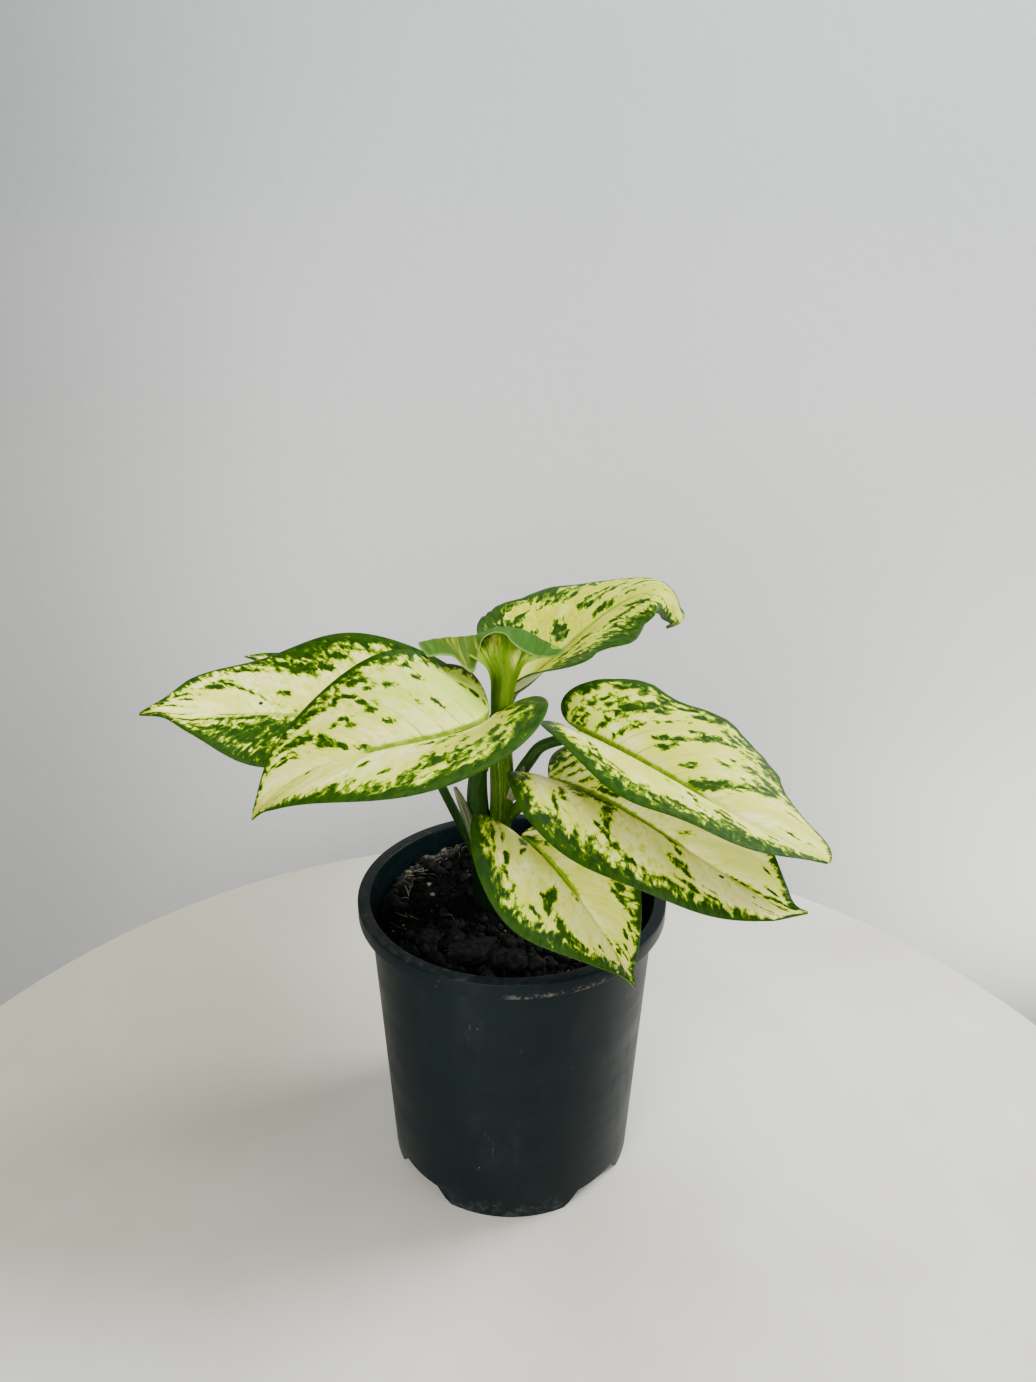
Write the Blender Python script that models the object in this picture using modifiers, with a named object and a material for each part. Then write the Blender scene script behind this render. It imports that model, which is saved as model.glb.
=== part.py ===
"""Potted Chinese evergreen: a variegated foliage plant standing in a round nursery pot.

Metres, +Z up.  The origin is the centre of the pot's underside, -Y is the front of the plant.
Lengths below are in millimetres and angles in degrees.
"""
import math
import random

import bmesh
import bpy
import numpy as np
from mathutils import Matrix, Vector, noise

MM = 0.001
SEED = 7
GAP = 0.4               # clearance left between neighbouring pieces
SEAT = 0.6              # clearance between a stalk and the blade it carries

# ---- pot ---------------------------------------------------------------------------------
POT_HEIGHT = 128.6
RIM_RADIUS = 65.0
LIP_WIDTH = 5.0         # flat top of the rim
BAND_HEIGHT = 6.5       # skirt that hangs from the lip
BAND_WALL = 1.5
WALL = 1.6
WALL_TOP_RADIUS = 60.1  # outside of the wall just under the band
WALL_BASE_RADIUS = 53.5
FLOOR = 1.8
HUB = 30.0              # plain centre of the floor
EDGE = 0.5              # small rounding of moulded edges
POT_STEPS = 64
NOTCHES = 4             # drainage recesses round the underside
NOTCH_HEIGHT = 7.0
NOTCH_INNER = 42.0
NOTCH_HALF_ANGLE = (19.0, 11.0)   # at the underside, at the top of the ramps
NOTCH_TURN = 43.0
STEP_RADIUS = NOTCH_INNER - 1.8   # the floor steps up over the recesses
STEP_HEIGHT = NOTCH_HEIGHT + 1.8
DRAIN_RADIUS = 3.0

# ---- soil --------------------------------------------------------------------------------
SOIL_LEVEL = 115.0
SOIL_MOUNDS = (         # x, y, height, spread
    (-18, -32, 4.0, 13), (4, -38, 4.5, 11), (-34, -22, 2.0, 10), (-9, 8, 2.5, 14),
    (-26, 42, 5.5, 13), (-46, 20, 4.5, 11), (2, 50, 5.0, 13), (30, -14, 1.5, 16),
    (22, 30, 1.0, 15))
SOIL_ROUGHNESS = 1.1

# ---- leaves ------------------------------------------------------------------------------
# base: foot of the midrib.  width, fold, flat and curl: left half, right half (seen from the
# stem towards the tip).  shape: fullness of the foot and of the tip.  lobe: how far the heart
# shaped lobes reach back.  heading (0 = +X, 90 = +Y), pitch and roll: at foot, middle, tip.
# fold, flat: rise of each half from the midrib at foot and tip.  wave: margin ripple, phases.
# hook: where along the blade a tip starts to curl over, and its extra droop by the very tip.
BLADE = 0.8             # thickness
LEAVES = {
    "left": dict(base=(-9, -6, 210), length=106.5, width=(31.5, 36.5), shape=(0.59, 0.89),
                 lobe=0.95, heading=(248, 190, 198), pitch=(0, -9, -56), roll=(-1, -16, 2),
                 fold=(34, 42), flat=(8, 14), curl=(31, 0), wave=(1.9, -0.1, 0.3)),
    "far_left": dict(base=(-33, 10, 192), length=118.5, width=(32.5, 39.5), shape=(0.47, 0.77),
                     lobe=0.66, heading=(161, 181, 198), pitch=(17, 3, 14), roll=(-31, -16, -10),
                     fold=(19, 29), flat=(7, 16), curl=(41, 11), wave=(3.2, 0.4, 0.4)),
    "back_left": dict(base=(-14, 38, 172), length=116.5, width=(22, 22), shape=(0.55, 0.95),
                      lobe=0.5, heading=(171, 168, 170), pitch=(24, 24, 0), roll=(-14, -8, 0),
                      fold=(15, 15), flat=(5, 5), curl=(10, 10), wave=(0.8, 0, 0.5)),
    "top_right": dict(base=(-1.5, 25, 209), length=106.2, width=(38.5, 32.5), shape=(0.42, 0.72),
                      lobe=0.27, heading=(43.5, 21, -35.5), pitch=(3.5, 33.5, -15),
                      roll=(-3.5, -2, 1), fold=(53, 45), flat=(-14, -19), curl=(15.5, 25),
                      wave=(-1.7, -0.07, 0.05), hook=(0.73, -133)),
    "right": dict(base=(26, 4.5, 200), length=113.5, width=(39, 35), shape=(0.8, 0.65),
                  lobe=0.85, heading=(-44, -45, -39), pitch=(-2, -9, -5), roll=(11, -1, -11),
                  fold=(63, 37), flat=(4, 18), curl=(46, 28), wave=(-1.7, -0.25, 0.35)),
    "right_low": dict(base=(14.5, -3.5, 181.5), length=113.5, width=(34, 34), shape=(0.48, 0.8),
                      lobe=0.75, heading=(-44, -42, -23), pitch=(12, -12, -19), roll=(-9, 8, 2),
                      fold=(30, 32), flat=(17, 10), curl=(-7, 52), wave=(-2.9, 0.05, 0.5)),
    "front": dict(base=(3, -11.5, 160), length=77.5, width=(27.5, 32.5), shape=(0.53, 0.94),
                  lobe=0.6, heading=(-58, -51, -50), pitch=(8, -28, -41), roll=(-21, 16, -29),
                  fold=(26, 29), flat=(12, 14), curl=(10, 30), wave=(0.6, 0, 0.6)),
}
ROWS = (0, 0.02, 0.06, 0.12, 0.2, 0.3, 0.4, 0.5, 0.6, 0.7, 0.8, 0.86, 0.91, 0.96, 1)
COLUMNS = (-1, -0.75, -0.5, -0.25, 0, 0.25, 0.5, 0.75, 1)

# The young centre leaf is still half rolled: a control net, foot to tip, left to right.
YOUNG_LEAF = (
    ((-8.5, 1.5, 206), (-8.5, 4, 206), (-7.5, 6, 206), (-6, 7.5, 206), (-4, 7.5, 206),
     (-2.5, 6, 206), (-1, 4, 206), (-1, 1.5, 206)),
    ((-8.5, 1, 214), (-8.5, 4, 214), (-8, 6.5, 214), (-6, 8, 213.5), (-4, 8, 213.5),
     (-2, 7, 214), (-0.5, 4, 214), (0, 1, 214)),
    ((-8.5, 0, 224), (-8.5, 3, 223.5), (-8, 6, 222.5), (-6, 8.5, 222),
     (-4, 10, 221), (-1, 9, 221.5), (1.5, 5, 222.5), (2, 1, 223.5)),
    ((-12, 3, 229), (-12, 7, 228.5), (-11.5, 10.5, 228), (-9.5, 13, 228),
     (-5, 16, 227), (0, 13, 228.5), (4, 8, 229), (5, 2, 229.5)),
    ((-23.5, 9, 233), (-21, 12, 233), (-17, 16, 232.5), (-12, 19, 232.5),
     (-5, 23, 232), (2, 19, 232.5), (7.5, 12, 232.5), (12.5, 4, 232)),
    ((-36.5, 3, 239), (-27.5, 8.5, 237.5), (-19.5, 13, 236), (-13.5, 20, 235.5),
     (-5, 26, 236.5), (4, 22, 236.5), (12, 14, 235), (20.5, 6, 233.5)),
    ((-31, -5, 235), (-23.5, -1, 233.5), (-15.5, 1, 226), (-12, 13, 235.5),
     (-4.5, 18, 236.5), (1.5, 11, 233), (9.5, 4, 231.5), (18, 1, 233)),
)

# ---- stem, petioles and sheaths: (x, y, z, radius) ----------------------------------------
STEM = ((-9, 9, 96, 8), (-9, 8, 125, 8), (-9, 6, 142, 7.6), (-9, 5, 150, 6), (-9, 5, 153, 3.5))
PETIOLES = {
    "left": ((-10, 6, 140, 4), (-13, 3, 155, 4.6), (-14.3, 1, 168, 4.5), (-14, 0, 181, 3.8),
             (-12.5, 0, 194, 3), (-10.5, -1, 203, 2.4)),
    "young": ((-7.5, 6, 140, 4), (-5.5, 4, 155, 4.6), (-4.4, 2.5, 168, 4.8),
              (-4.4, 3, 182, 4.8), (-5, 4, 194, 4.7), (-5, 4, 205.2, 4.4)),
    "far_left": ((-9, 8, 122, 2.2), (-13, 9, 132, 2.2), (-18.5, 10, 146, 2.1),
                 (-25, 10, 161, 2), (-30, 10, 173, 2), (-33, 10.5, 184, 2)),
    "back_left": ((-9, 8, 134, 2.2), (-10.5, 14, 141, 2.4), (-12.5, 24, 151, 2.3),
                  (-13.5, 32, 160, 2.1)),
    "top_right": ((-4.5, 4, 180, 2.4), (-4, 10, 190, 2.6), (-3.5, 16, 200, 2.3)),
    "right": ((-4, 3, 166, 2.6), (0.5, 3, 176, 2.7), (7, 4, 187, 2.6), (13, 4.5, 193.5, 2.4)),
    "right_low": ((-4.5, 3, 158, 2.4), (1, 1.5, 165, 2.5), (7, -0.5, 172, 2.3)),
    "front": ((-8, 4, 136, 2.4), (-4, -2, 144, 2.4), (-1, -7, 150, 2.2)),
}
SHEATHS = {
    "sheath_dry": ((-15, 1, 150, 2.4), (-17.5, -2.5, 162, 2.2), (-20.5, -3, 171, 1.8),
                   (-23.5, -2.5, 178, 0.8)),
    "sheath_pale": ((-1, -1.8, 172, 2.0), (2, -2.6, 180, 1.7), (4.6, -2.2, 187, 0.7)),
}

# ---- loose pieces on the soil: x, y, radii, turn ------------------------------------------
CLUMPS = {
    "clump_front": (-16, -34, (9, 6, 3.2), 20), "clump_side": (-34, -24, (6, 4.5, 2.6), 70),
    "clump_mid": (-1, -40, (7, 4.5, 3), -10), "clump_back": (-36, 30, (8, 3, 1.4), 140),
}
CHIPS = {
    "perlite_a": (-37, 17, (1.3, 1.0, 0.8), 30), "perlite_b": (-35, 11.5, (1.1, 0.9, 0.7), 0),
    "prill": (-47, 26, (1.7, 1.7, 1.5), 0), "bark": (-20, 25, (3.2, 1.4, 0.8), 60),
}

COLOURS = {             # base colour, roughness
    "pot": ((0.012, 0.017, 0.019), 0.38), "soil": ((0.018, 0.013, 0.010), 0.95),
    "blade": ((0.62, 0.70, 0.30), 0.36), "young": ((0.25, 0.42, 0.09), 0.4),
    "petiole": ((0.07, 0.17, 0.03), 0.4), "dark": ((0.03, 0.07, 0.025), 0.45),
    "dry": ((0.55, 0.50, 0.33), 0.7), "clump": ((0.05, 0.034, 0.024), 0.95),
    "white": ((0.75, 0.73, 0.66), 0.8), "prill": ((0.45, 0.48, 0.08), 0.4),
}


# ---- helpers -----------------------------------------------------------------------------
def clear_scene():
    for item in list(bpy.data.objects):
        bpy.data.objects.remove(item, do_unlink=True)
    for group in list(bpy.data.collections):
        bpy.data.collections.remove(group)


def collection(name):
    group = bpy.data.collections.new(name)
    bpy.context.scene.collection.children.link(group)
    return group


def material(name, kind):
    colour, roughness = COLOURS[kind]
    mat = bpy.data.materials.new(name)
    mat.use_nodes = True
    shader = mat.node_tree.nodes["Principled BSDF"]
    shader.inputs["Base Color"].default_value = (*colour, 1)
    shader.inputs["Roughness"].default_value = roughness
    mat.diffuse_color = (*colour, 1)
    return mat


def add_object(name, mesh, group, kind=None):
    item = bpy.data.objects.new(name, mesh)
    group.objects.link(item)
    if kind:
        mesh.materials.append(material(name, kind))
    return item


def smooth(mesh, angle=40):
    for face in mesh.polygons:
        face.use_smooth = True
    mesh.set_sharp_from_angle(angle=math.radians(angle))


def mesh_from(name, points, faces, sharp=40):
    """A mesh from millimetre points, with its faces turned outwards."""
    mesh = bpy.data.meshes.new(name)
    mesh.from_pydata([Vector(p) * MM for p in points], [], faces)
    bm = bmesh.new()
    bm.from_mesh(mesh)
    bmesh.ops.recalc_face_normals(bm, faces=bm.faces)
    bm.to_mesh(mesh)
    bm.free()
    smooth(mesh, sharp)
    return mesh


def subtract(item, cutter):
    cut = item.modifiers.new("clear_of_" + cutter.name, "BOOLEAN")
    cut.operation = "DIFFERENCE"
    cut.solver = "EXACT"
    cut.object = cutter


def as_cutter(item):
    item.hide_render = True
    item.display_type = "WIRE"
    return item


# ---- pot ---------------------------------------------------------------------------------
def wall_radius(z):
    """Outside radius of the pot's tapered wall."""
    top = POT_HEIGHT - BAND_HEIGHT
    return WALL_BASE_RADIUS + (WALL_TOP_RADIUS - WALL_BASE_RADIUS) * min(z, top) / top


def pot_profile():
    top, band = POT_HEIGHT, POT_HEIGHT - BAND_HEIGHT
    lip_inner, under = RIM_RADIUS - LIP_WIDTH, top - BAND_WALL
    return [
        (0, FLOOR), (HUB, FLOOR), (STEP_RADIUS - 1, FLOOR), (STEP_RADIUS, STEP_HEIGHT),
        (wall_radius(STEP_HEIGHT) - WALL, STEP_HEIGHT),
        (wall_radius(band) - WALL, band), (lip_inner - EDGE, top - 1.5), (lip_inner, top),
        (RIM_RADIUS - EDGE, top), (RIM_RADIUS, top - EDGE), (RIM_RADIUS, band),
        (RIM_RADIUS - BAND_WALL, band), (RIM_RADIUS - BAND_WALL, under),
        (wall_radius(band) + 0.6, under), (wall_radius(band), band),
        (wall_radius(EDGE), EDGE), (wall_radius(0) - EDGE, 0), (HUB, 0),
        (0, 0)]


def sector(name, group, inner, outer, low, high, half_low, half_high, steps=5):
    """A block shaped like a slice of a ring, its two ends sloping inwards with height."""
    points, faces = [], []
    for z, half in ((low, half_low), (high, half_high)):
        for radius in (inner, outer):
            for i in range(steps + 1):
                angle = math.radians(-half + 2 * half * i / steps)
                points.append((radius * math.cos(angle), radius * math.sin(angle), z))
    n = steps + 1
    ring = [list(range(k * n, k * n + n)) for k in range(4)]
    loops = ((ring[0], ring[1]), (ring[3], ring[2]), (ring[2], ring[0]), (ring[1], ring[3]))
    for a, b in loops:
        for i in range(steps):
            faces.append((a[i], a[i + 1], b[i + 1], b[i]))
    faces.append((ring[0][0], ring[1][0], ring[3][0], ring[2][0]))
    faces.append((ring[0][-1], ring[2][-1], ring[3][-1], ring[1][-1]))
    return as_cutter(add_object(name, mesh_from(name, points, faces), group))


def ring_of(name, group, first):
    """Copies of one cutting block, spaced evenly round the pot and joined in one mesh."""
    bm = bmesh.new()
    for k in range(NOTCHES):
        start = len(bm.verts)
        bm.from_mesh(first.data)
        bm.verts.ensure_lookup_table()
        turn = math.radians(NOTCH_TURN + 360 * k / NOTCHES)
        bmesh.ops.rotate(bm, verts=bm.verts[start:], cent=(0, 0, 0),
                         matrix=Matrix.Rotation(turn, 3, "Z"))
    mesh = bpy.data.meshes.new(name)
    bm.to_mesh(mesh)
    bm.free()
    bpy.data.objects.remove(first, do_unlink=True)
    return as_cutter(add_object(name, mesh, group))


def make_pot(group, cutters):
    mesh = bpy.data.meshes.new("pot")
    profile = [(r * MM, 0, z * MM) for r, z in pot_profile()]
    mesh.from_pydata(profile, [(i, i + 1) for i in range(len(profile) - 1)], [])
    pot = add_object("pot", mesh, group, "pot")
    turn = pot.modifiers.new("turn", "SCREW")
    turn.axis = "Z"
    turn.steps = turn.render_steps = POT_STEPS
    turn.use_merge_vertices = True
    turn.merge_threshold = 0.00005
    turn.use_smooth_shade = True

    notch = sector("notch", cutters, NOTCH_INNER, wall_radius(0) + 8, -1.0, NOTCH_HEIGHT,
                   *NOTCH_HALF_ANGLE)
    notches = ring_of("notches", cutters, notch)
    bm = bmesh.new()
    bmesh.ops.create_cone(bm, cap_ends=True, segments=16, radius1=DRAIN_RADIUS * MM,
                          radius2=DRAIN_RADIUS * MM, depth=8 * MM,
                          matrix=Matrix.Translation(Vector((NOTCH_INNER + 5, 0,
                                                            NOTCH_HEIGHT)) * MM))
    drain = bpy.data.meshes.new("drain")
    bm.to_mesh(drain)
    bm.free()
    drain = add_object("drain", drain, cutters)
    subtract(pot, ring_of("drains", cutters, drain))
    subtract(pot, notches)
    return pot


# ---- soil --------------------------------------------------------------------------------
def soil_height(x, y):
    radius = math.hypot(x, y)
    height = SOIL_LEVEL - 1.0 * max(0, radius - 48) / 10
    for mx, my, rise, spread in SOIL_MOUNDS:
        height += rise * math.exp(-((x - mx) ** 2 + (y - my) ** 2) / (2 * spread ** 2))
    ripple = noise.fractal(Vector((x, y, SEED)) / 9, 0.8, 2.0, 3)
    return height + SOIL_ROUGHNESS * ripple


def soil_solid(name, lift=0, floor=None, spread=1.0):
    """The soil's body: a lumpy top over a tapered plug that follows the inside of the pot."""
    rings, spokes = 9, 36
    edge = (wall_radius(SOIL_LEVEL) - WALL - GAP - 0.1) * spread
    foot = (wall_radius(STEP_HEIGHT) - WALL - GAP - 0.6) * spread
    if floor is None:
        under = [(foot, STEP_HEIGHT + GAP), (STEP_RADIUS - 1 - GAP, STEP_HEIGHT + GAP),
                 (STEP_RADIUS - 2 - GAP, FLOOR + GAP)]
    else:
        under = [(foot, floor)]
    points, faces = [(0, 0, soil_height(0, 0) + lift)], []
    levels = rings + len(under)
    for i in range(1, levels + 1):
        for j in range(spokes):
            angle = 2 * math.pi * (j + 0.5 * (min(i, rings) % 2)) / spokes
            if i <= rings:
                x, y = edge * i / rings * math.cos(angle), edge * i / rings * math.sin(angle)
                points.append((x, y, soil_height(x, y) + lift))
            else:
                radius, z = under[i - rings - 1]
                points.append((radius * math.cos(angle), radius * math.sin(angle), z))
    points.append((0, 0, under[-1][1]))
    last = 1 + (levels - 1) * spokes
    for j in range(spokes):
        k = (j + 1) % spokes
        faces.append((0, 1 + j, 1 + k))
        for i in range(levels - 1):
            a, b = 1 + i * spokes, 1 + (i + 1) * spokes
            faces.append((a + j, b + j, b + k, a + k))
        faces.append((last + k, last + j, len(points) - 1))
    return mesh_from(name, points, faces, 60)


# ---- plant -------------------------------------------------------------------------------
def bend(values, s):
    """Smooth value along a leaf from its three stations at foot, middle and tip."""
    foot, middle, tip = values
    return foot * (1 - s) * (1 - 2 * s) + middle * 4 * s * (1 - s) + tip * s * (2 * s - 1)


def mean(table):
    """Average along each row of evenly spaced samples, ends counting half."""
    return (table[:, 1:] + table[:, :-1]).mean(axis=1) / 2


def leaf_points(leaf, rows, columns):
    """Grid of points on a blade: rows run foot to tip, columns left margin to right margin."""
    rows = np.asarray(rows, float)
    s = np.linspace(0, 1, 81)
    heading, pitch = np.radians(bend(leaf["heading"], s)), np.radians(bend(leaf["pitch"], s))
    start, droop = leaf.get("hook", (0.9, 0))
    pitch = pitch + math.radians(droop) * np.clip((s - start) / (1 - start), 0, 1)
    along = np.stack([np.cos(pitch) * np.cos(heading), np.cos(pitch) * np.sin(heading),
                      np.sin(pitch)], -1)
    step = leaf["length"] / (len(s) - 1)
    rib = np.zeros_like(along)
    rib[1:] = np.cumsum((along[1:] + along[:-1]) / 2 * step, 0)
    rib += np.array(leaf["base"], float)

    def at(table, where):
        return np.stack([np.interp(where, s, table[:, k]) for k in range(3)], -1)

    foot_full, tip_full = leaf["shape"]
    peak = foot_full / (foot_full + tip_full)
    outline = rows ** foot_full * (1 - rows) ** tip_full
    outline = outline / (peak ** foot_full * (1 - peak) ** tip_full)
    reach = leaf["lobe"] * np.sqrt(rows) * (1 - rows) ** 4
    grid = np.zeros((len(rows), len(columns), 3))
    for j, v in enumerate(columns):
        side = 1 if v >= 0 else 0
        sign = 1 if side else -1
        half = leaf["width"][side]
        out = abs(v) * half * outline
        where = rows - abs(v) * reach
        on_rib = np.clip(where, 0, 1)
        t = at(along, on_rib)
        t /= np.linalg.norm(t, axis=-1, keepdims=True)
        centre = at(rib, on_rib) + t * (np.minimum(where, 0) * leaf["length"])[:, None]
        turn = np.radians(bend(leaf["heading"], on_rib))
        flat_side = np.stack([np.sin(turn), -np.cos(turn), 0 * turn], -1)
        flat_up = np.cross(flat_side, t)
        roll = np.radians(bend(leaf["roll"], on_rib))[:, None]
        across = np.cos(roll) * flat_side - np.sin(roll) * flat_up
        up = np.cross(across, t)
        rise = leaf["fold"][side] + (leaf["flat"][side] - leaf["fold"][side]) * on_rib
        q = np.linspace(0, 1, 9)
        slope = np.radians(rise)[:, None]
        slope = slope - math.radians(leaf["curl"][side]) * q * (out / half)[:, None]
        run, lift = mean(np.cos(slope)), mean(np.sin(slope))
        ripple, phase = leaf["wave"][0], leaf["wave"][1 + side]
        wave = ripple * np.sin(2 * math.pi * (2 * rows + phase)) * (out / half) ** 2
        grid[:, j] = centre + sign * (run * out)[:, None] * across
        grid[:, j] += (lift * out + wave)[:, None] * up
    return grid


def make_leaf(name, leaf, group):
    grid = leaf_points(leaf, ROWS, COLUMNS)
    wide = len(COLUMNS)
    points = [tuple(grid[0, wide // 2])]
    points += [tuple(p) for row in grid[1:-1] for p in row]
    points.append(tuple(grid[-1, wide // 2]))
    faces, last = [], len(points) - 1
    for j in range(wide - 1):
        faces.append((0, 1 + j, 2 + j))
        for i in range(len(ROWS) - 3):
            a = 1 + i * wide + j
            faces.append((a, a + wide, a + wide + 1, a + 1))
        a = 1 + (len(ROWS) - 3) * wide + j
        faces.append((a + 1, a, last))
    return thicken(add_object(name, mesh_from(name, points, faces, 60), group, "blade"))


def thicken(item):
    solid = item.modifiers.new("thickness", "SOLIDIFY")
    solid.thickness = BLADE * MM
    solid.offset = 0
    return item


def make_young_leaf(group):
    net = [p for row in YOUNG_LEAF for p in row]
    wide = len(YOUNG_LEAF[0])
    faces = [(a, a + 1, a + wide + 1, a + wide)
             for i in range(len(YOUNG_LEAF) - 1) for a in range(i * wide, (i + 1) * wide - 1)]
    item = add_object("leaf_young", mesh_from("leaf_young", net, faces, 60), group, "young")
    soft = item.modifiers.new("soften", "SUBSURF")
    soft.levels = soft.render_levels = 2
    soft.boundary_smooth = "PRESERVE_CORNERS"
    return thicken(item)


def make_tube(name, path, group, kind=None, grow=0.0, sides=2):
    """A tapered stalk swept along a smooth path, with closed ends."""
    curve = bpy.data.curves.new(name, "CURVE")
    curve.dimensions = "3D"
    curve.bevel_depth = MM
    curve.bevel_resolution = sides
    curve.use_fill_caps = True
    curve.resolution_u = 3
    spline = curve.splines.new("BEZIER")
    spline.bezier_points.add(len(path) - 1)
    for point, (x, y, z, radius) in zip(spline.bezier_points, path):
        point.co = Vector((x, y, z)) * MM
        point.handle_left_type = point.handle_right_type = "AUTO"
        point.radius = radius + grow
    source = bpy.data.objects.new(name + "_path", curve)
    group.objects.link(source)
    bpy.context.view_layer.update()
    mesh = bpy.data.meshes.new_from_object(source.evaluated_get(
        bpy.context.evaluated_depsgraph_get()))
    bpy.data.objects.remove(source, do_unlink=True)
    mesh.name = name
    bm = bmesh.new()
    bm.from_mesh(mesh)
    bmesh.ops.remove_doubles(bm, verts=bm.verts, dist=0.00001)
    bmesh.ops.recalc_face_normals(bm, faces=bm.faces)
    bm.to_mesh(mesh)
    bm.free()
    smooth(mesh, 50)
    item = add_object(name, mesh, group, kind)
    return item if kind else as_cutter(item)


def petiole_path(name):
    """The stalk's own points, then its end tucked close under the foot of its blade."""
    path = list(PETIOLES[name])
    if name not in LEAVES:
        return path
    leaf = LEAVES[name]
    skin = leaf_points(leaf, np.linspace(0, 0.3, 41), np.linspace(-0.5, 0.5, 41)).reshape(-1, 3)
    foot, left, right, ahead = (leaf_points(leaf, (row,), (v,))[0, 0] for row, v in (
        (0.05, 0), (0.05, -0.02), (0.05, 0.02), (0.1, 0)))
    down = -np.cross(right - left, ahead - foot)
    down /= np.linalg.norm(down)
    for row, share in ((0.02, 0.85), (0.09, 0.6)):
        width = PETIOLES[name][-1][3] * share
        spot = leaf_points(leaf, (row,), (0,))[0, 0]
        while np.linalg.norm(skin - spot, axis=1).min() < width + BLADE / 2 + SEAT:
            spot = spot + 0.1 * down
        path.append((*spot, width))
    return path


def ground_at(soil, x, y):
    """Height of the modelled soil surface under a spot."""
    bpy.context.view_layer.update()
    hit, spot, _, _ = soil.ray_cast(Vector((x, y, 200)) * MM, Vector((0, 0, -1)))
    return spot.z / MM if hit else SOIL_LEVEL


def make_lump(name, place, ground, group, kind, detail=2):
    """An irregular crumb resting on the soil."""
    x, y, radii, turn = place
    rng = random.Random(name + str(SEED))
    shift = Vector((rng.random(), rng.random(), rng.random())) * 50
    bm = bmesh.new()
    bmesh.ops.create_icosphere(bm, subdivisions=detail, radius=1)
    c, s = math.cos(math.radians(turn)), math.sin(math.radians(turn))
    for vert in bm.verts:
        v = vert.co * (1 + 0.28 * noise.noise(vert.co * 1.7 + shift))
        px, py = v.x * radii[0], v.y * radii[1]
        vert.co = Vector((x + c * px - s * py, y + s * px + c * py,
                          ground + 0.35 * radii[2] + v.z * radii[2])) * MM
    mesh = bpy.data.meshes.new(name)
    bm.to_mesh(mesh)
    bm.free()
    smooth(mesh, 60)
    return add_object(name, mesh, group, kind)


def main():
    clear_scene()
    parts, cutters = collection("potted_chinese_evergreen"), collection("cutters")
    make_pot(parts, cutters)
    stem = make_tube("stem", STEM, parts, "dark")
    tall = [(x, y, z + (GAP if z > STEM[0][2] else -1), r) for x, y, z, r in STEM]
    stem_room = make_tube("stem_clear", tall, cutters, grow=GAP)
    soil = add_object("soil", soil_solid("soil"), parts, "soil")
    ground = {name: ground_at(soil, *place[:2]) for name, place in {**CLUMPS, **CHIPS}.items()}
    subtract(soil, stem_room)
    bed = as_cutter(add_object("ground_clear", soil_solid("ground_clear", GAP + 0.2, 60),
                               cutters))
    for name, place in CLUMPS.items():
        subtract(make_lump(name, place, ground[name], parts, "clump"), bed)
    for name, place in CHIPS.items():
        kind = {"prill": "prill", "bark": "dark"}.get(name, "white")
        subtract(make_lump(name, place, ground[name] + 0.5, parts, kind, 1), bed)

    for name, leaf in LEAVES.items():
        make_leaf("leaf_" + name, leaf, parts)
    make_young_leaf(parts)
    columns = {name: make_tube(name + "_clear", petiole_path(name), cutters, grow=GAP)
               for name in ("left", "young")}
    for name in PETIOLES:
        kind = "dark" if name in ("left", "far_left", "right") else "petiole"
        stalk = make_tube("petiole_" + name, petiole_path(name), parts, kind)
        subtract(stalk, stem_room)
        if name != "left":
            subtract(stalk, columns["left"])
        if name not in ("left", "young"):
            subtract(stalk, columns["young"])
    for name, path in SHEATHS.items():
        sheath = make_tube(name, path, parts, "dry")
        for room in (stem_room, columns["left"], columns["young"]):
            subtract(sheath, room)


main()
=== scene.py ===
"""Looks of the potted Chinese evergreen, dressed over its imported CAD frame.

Shapes are written in millimetres and degrees, as in the CAD, and become metres in build_mesh.
Materials, camera, stage and lights are written in metres.
"""

import math
import random

import bmesh
import bpy
import numpy as np
from mathutils import Matrix, Vector, noise


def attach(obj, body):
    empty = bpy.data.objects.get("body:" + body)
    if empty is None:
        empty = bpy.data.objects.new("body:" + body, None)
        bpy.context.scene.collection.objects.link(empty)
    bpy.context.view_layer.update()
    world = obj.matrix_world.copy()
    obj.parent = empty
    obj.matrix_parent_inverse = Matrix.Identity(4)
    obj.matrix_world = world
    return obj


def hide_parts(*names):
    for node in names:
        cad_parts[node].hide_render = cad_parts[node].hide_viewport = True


MM = 0.001
SEED = 7

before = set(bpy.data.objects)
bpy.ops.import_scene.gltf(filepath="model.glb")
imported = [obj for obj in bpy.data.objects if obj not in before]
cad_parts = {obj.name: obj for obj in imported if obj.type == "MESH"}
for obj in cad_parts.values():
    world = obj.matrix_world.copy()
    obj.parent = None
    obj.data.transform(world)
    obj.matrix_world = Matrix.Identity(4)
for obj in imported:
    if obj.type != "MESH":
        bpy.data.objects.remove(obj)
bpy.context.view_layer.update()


# ---- small helpers -------------------------------------------------------------------------
def add_object(name, data):
    item = bpy.data.objects.new(name, data)
    bpy.context.scene.collection.objects.link(item)
    return item


def baked(name, bm):
    """The mesh that a bmesh describes."""
    mesh = bpy.data.meshes.new(name)
    bm.to_mesh(mesh)
    bm.free()
    return mesh


def numbers(width, text):
    """Rows of numbers from text.  The commas between rows only help the eye."""
    return np.array(text.replace(",", " ").split(), float).reshape(-1, width)


def curve(where, text):
    """Value at each place, on the line through the (place, value) pairs of a text table."""
    return np.interp(where, *numbers(2, text).T)


def smoothstep(low, high, value):
    x = np.clip((value - low) / (high - low), 0, 1)
    return x * x * (3 - 2 * x)


def bell(x):
    return np.exp(-x ** 2)


def unit(vectors):
    return vectors / np.maximum(np.linalg.norm(vectors, axis=-1, keepdims=True), 1e-9)


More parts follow.
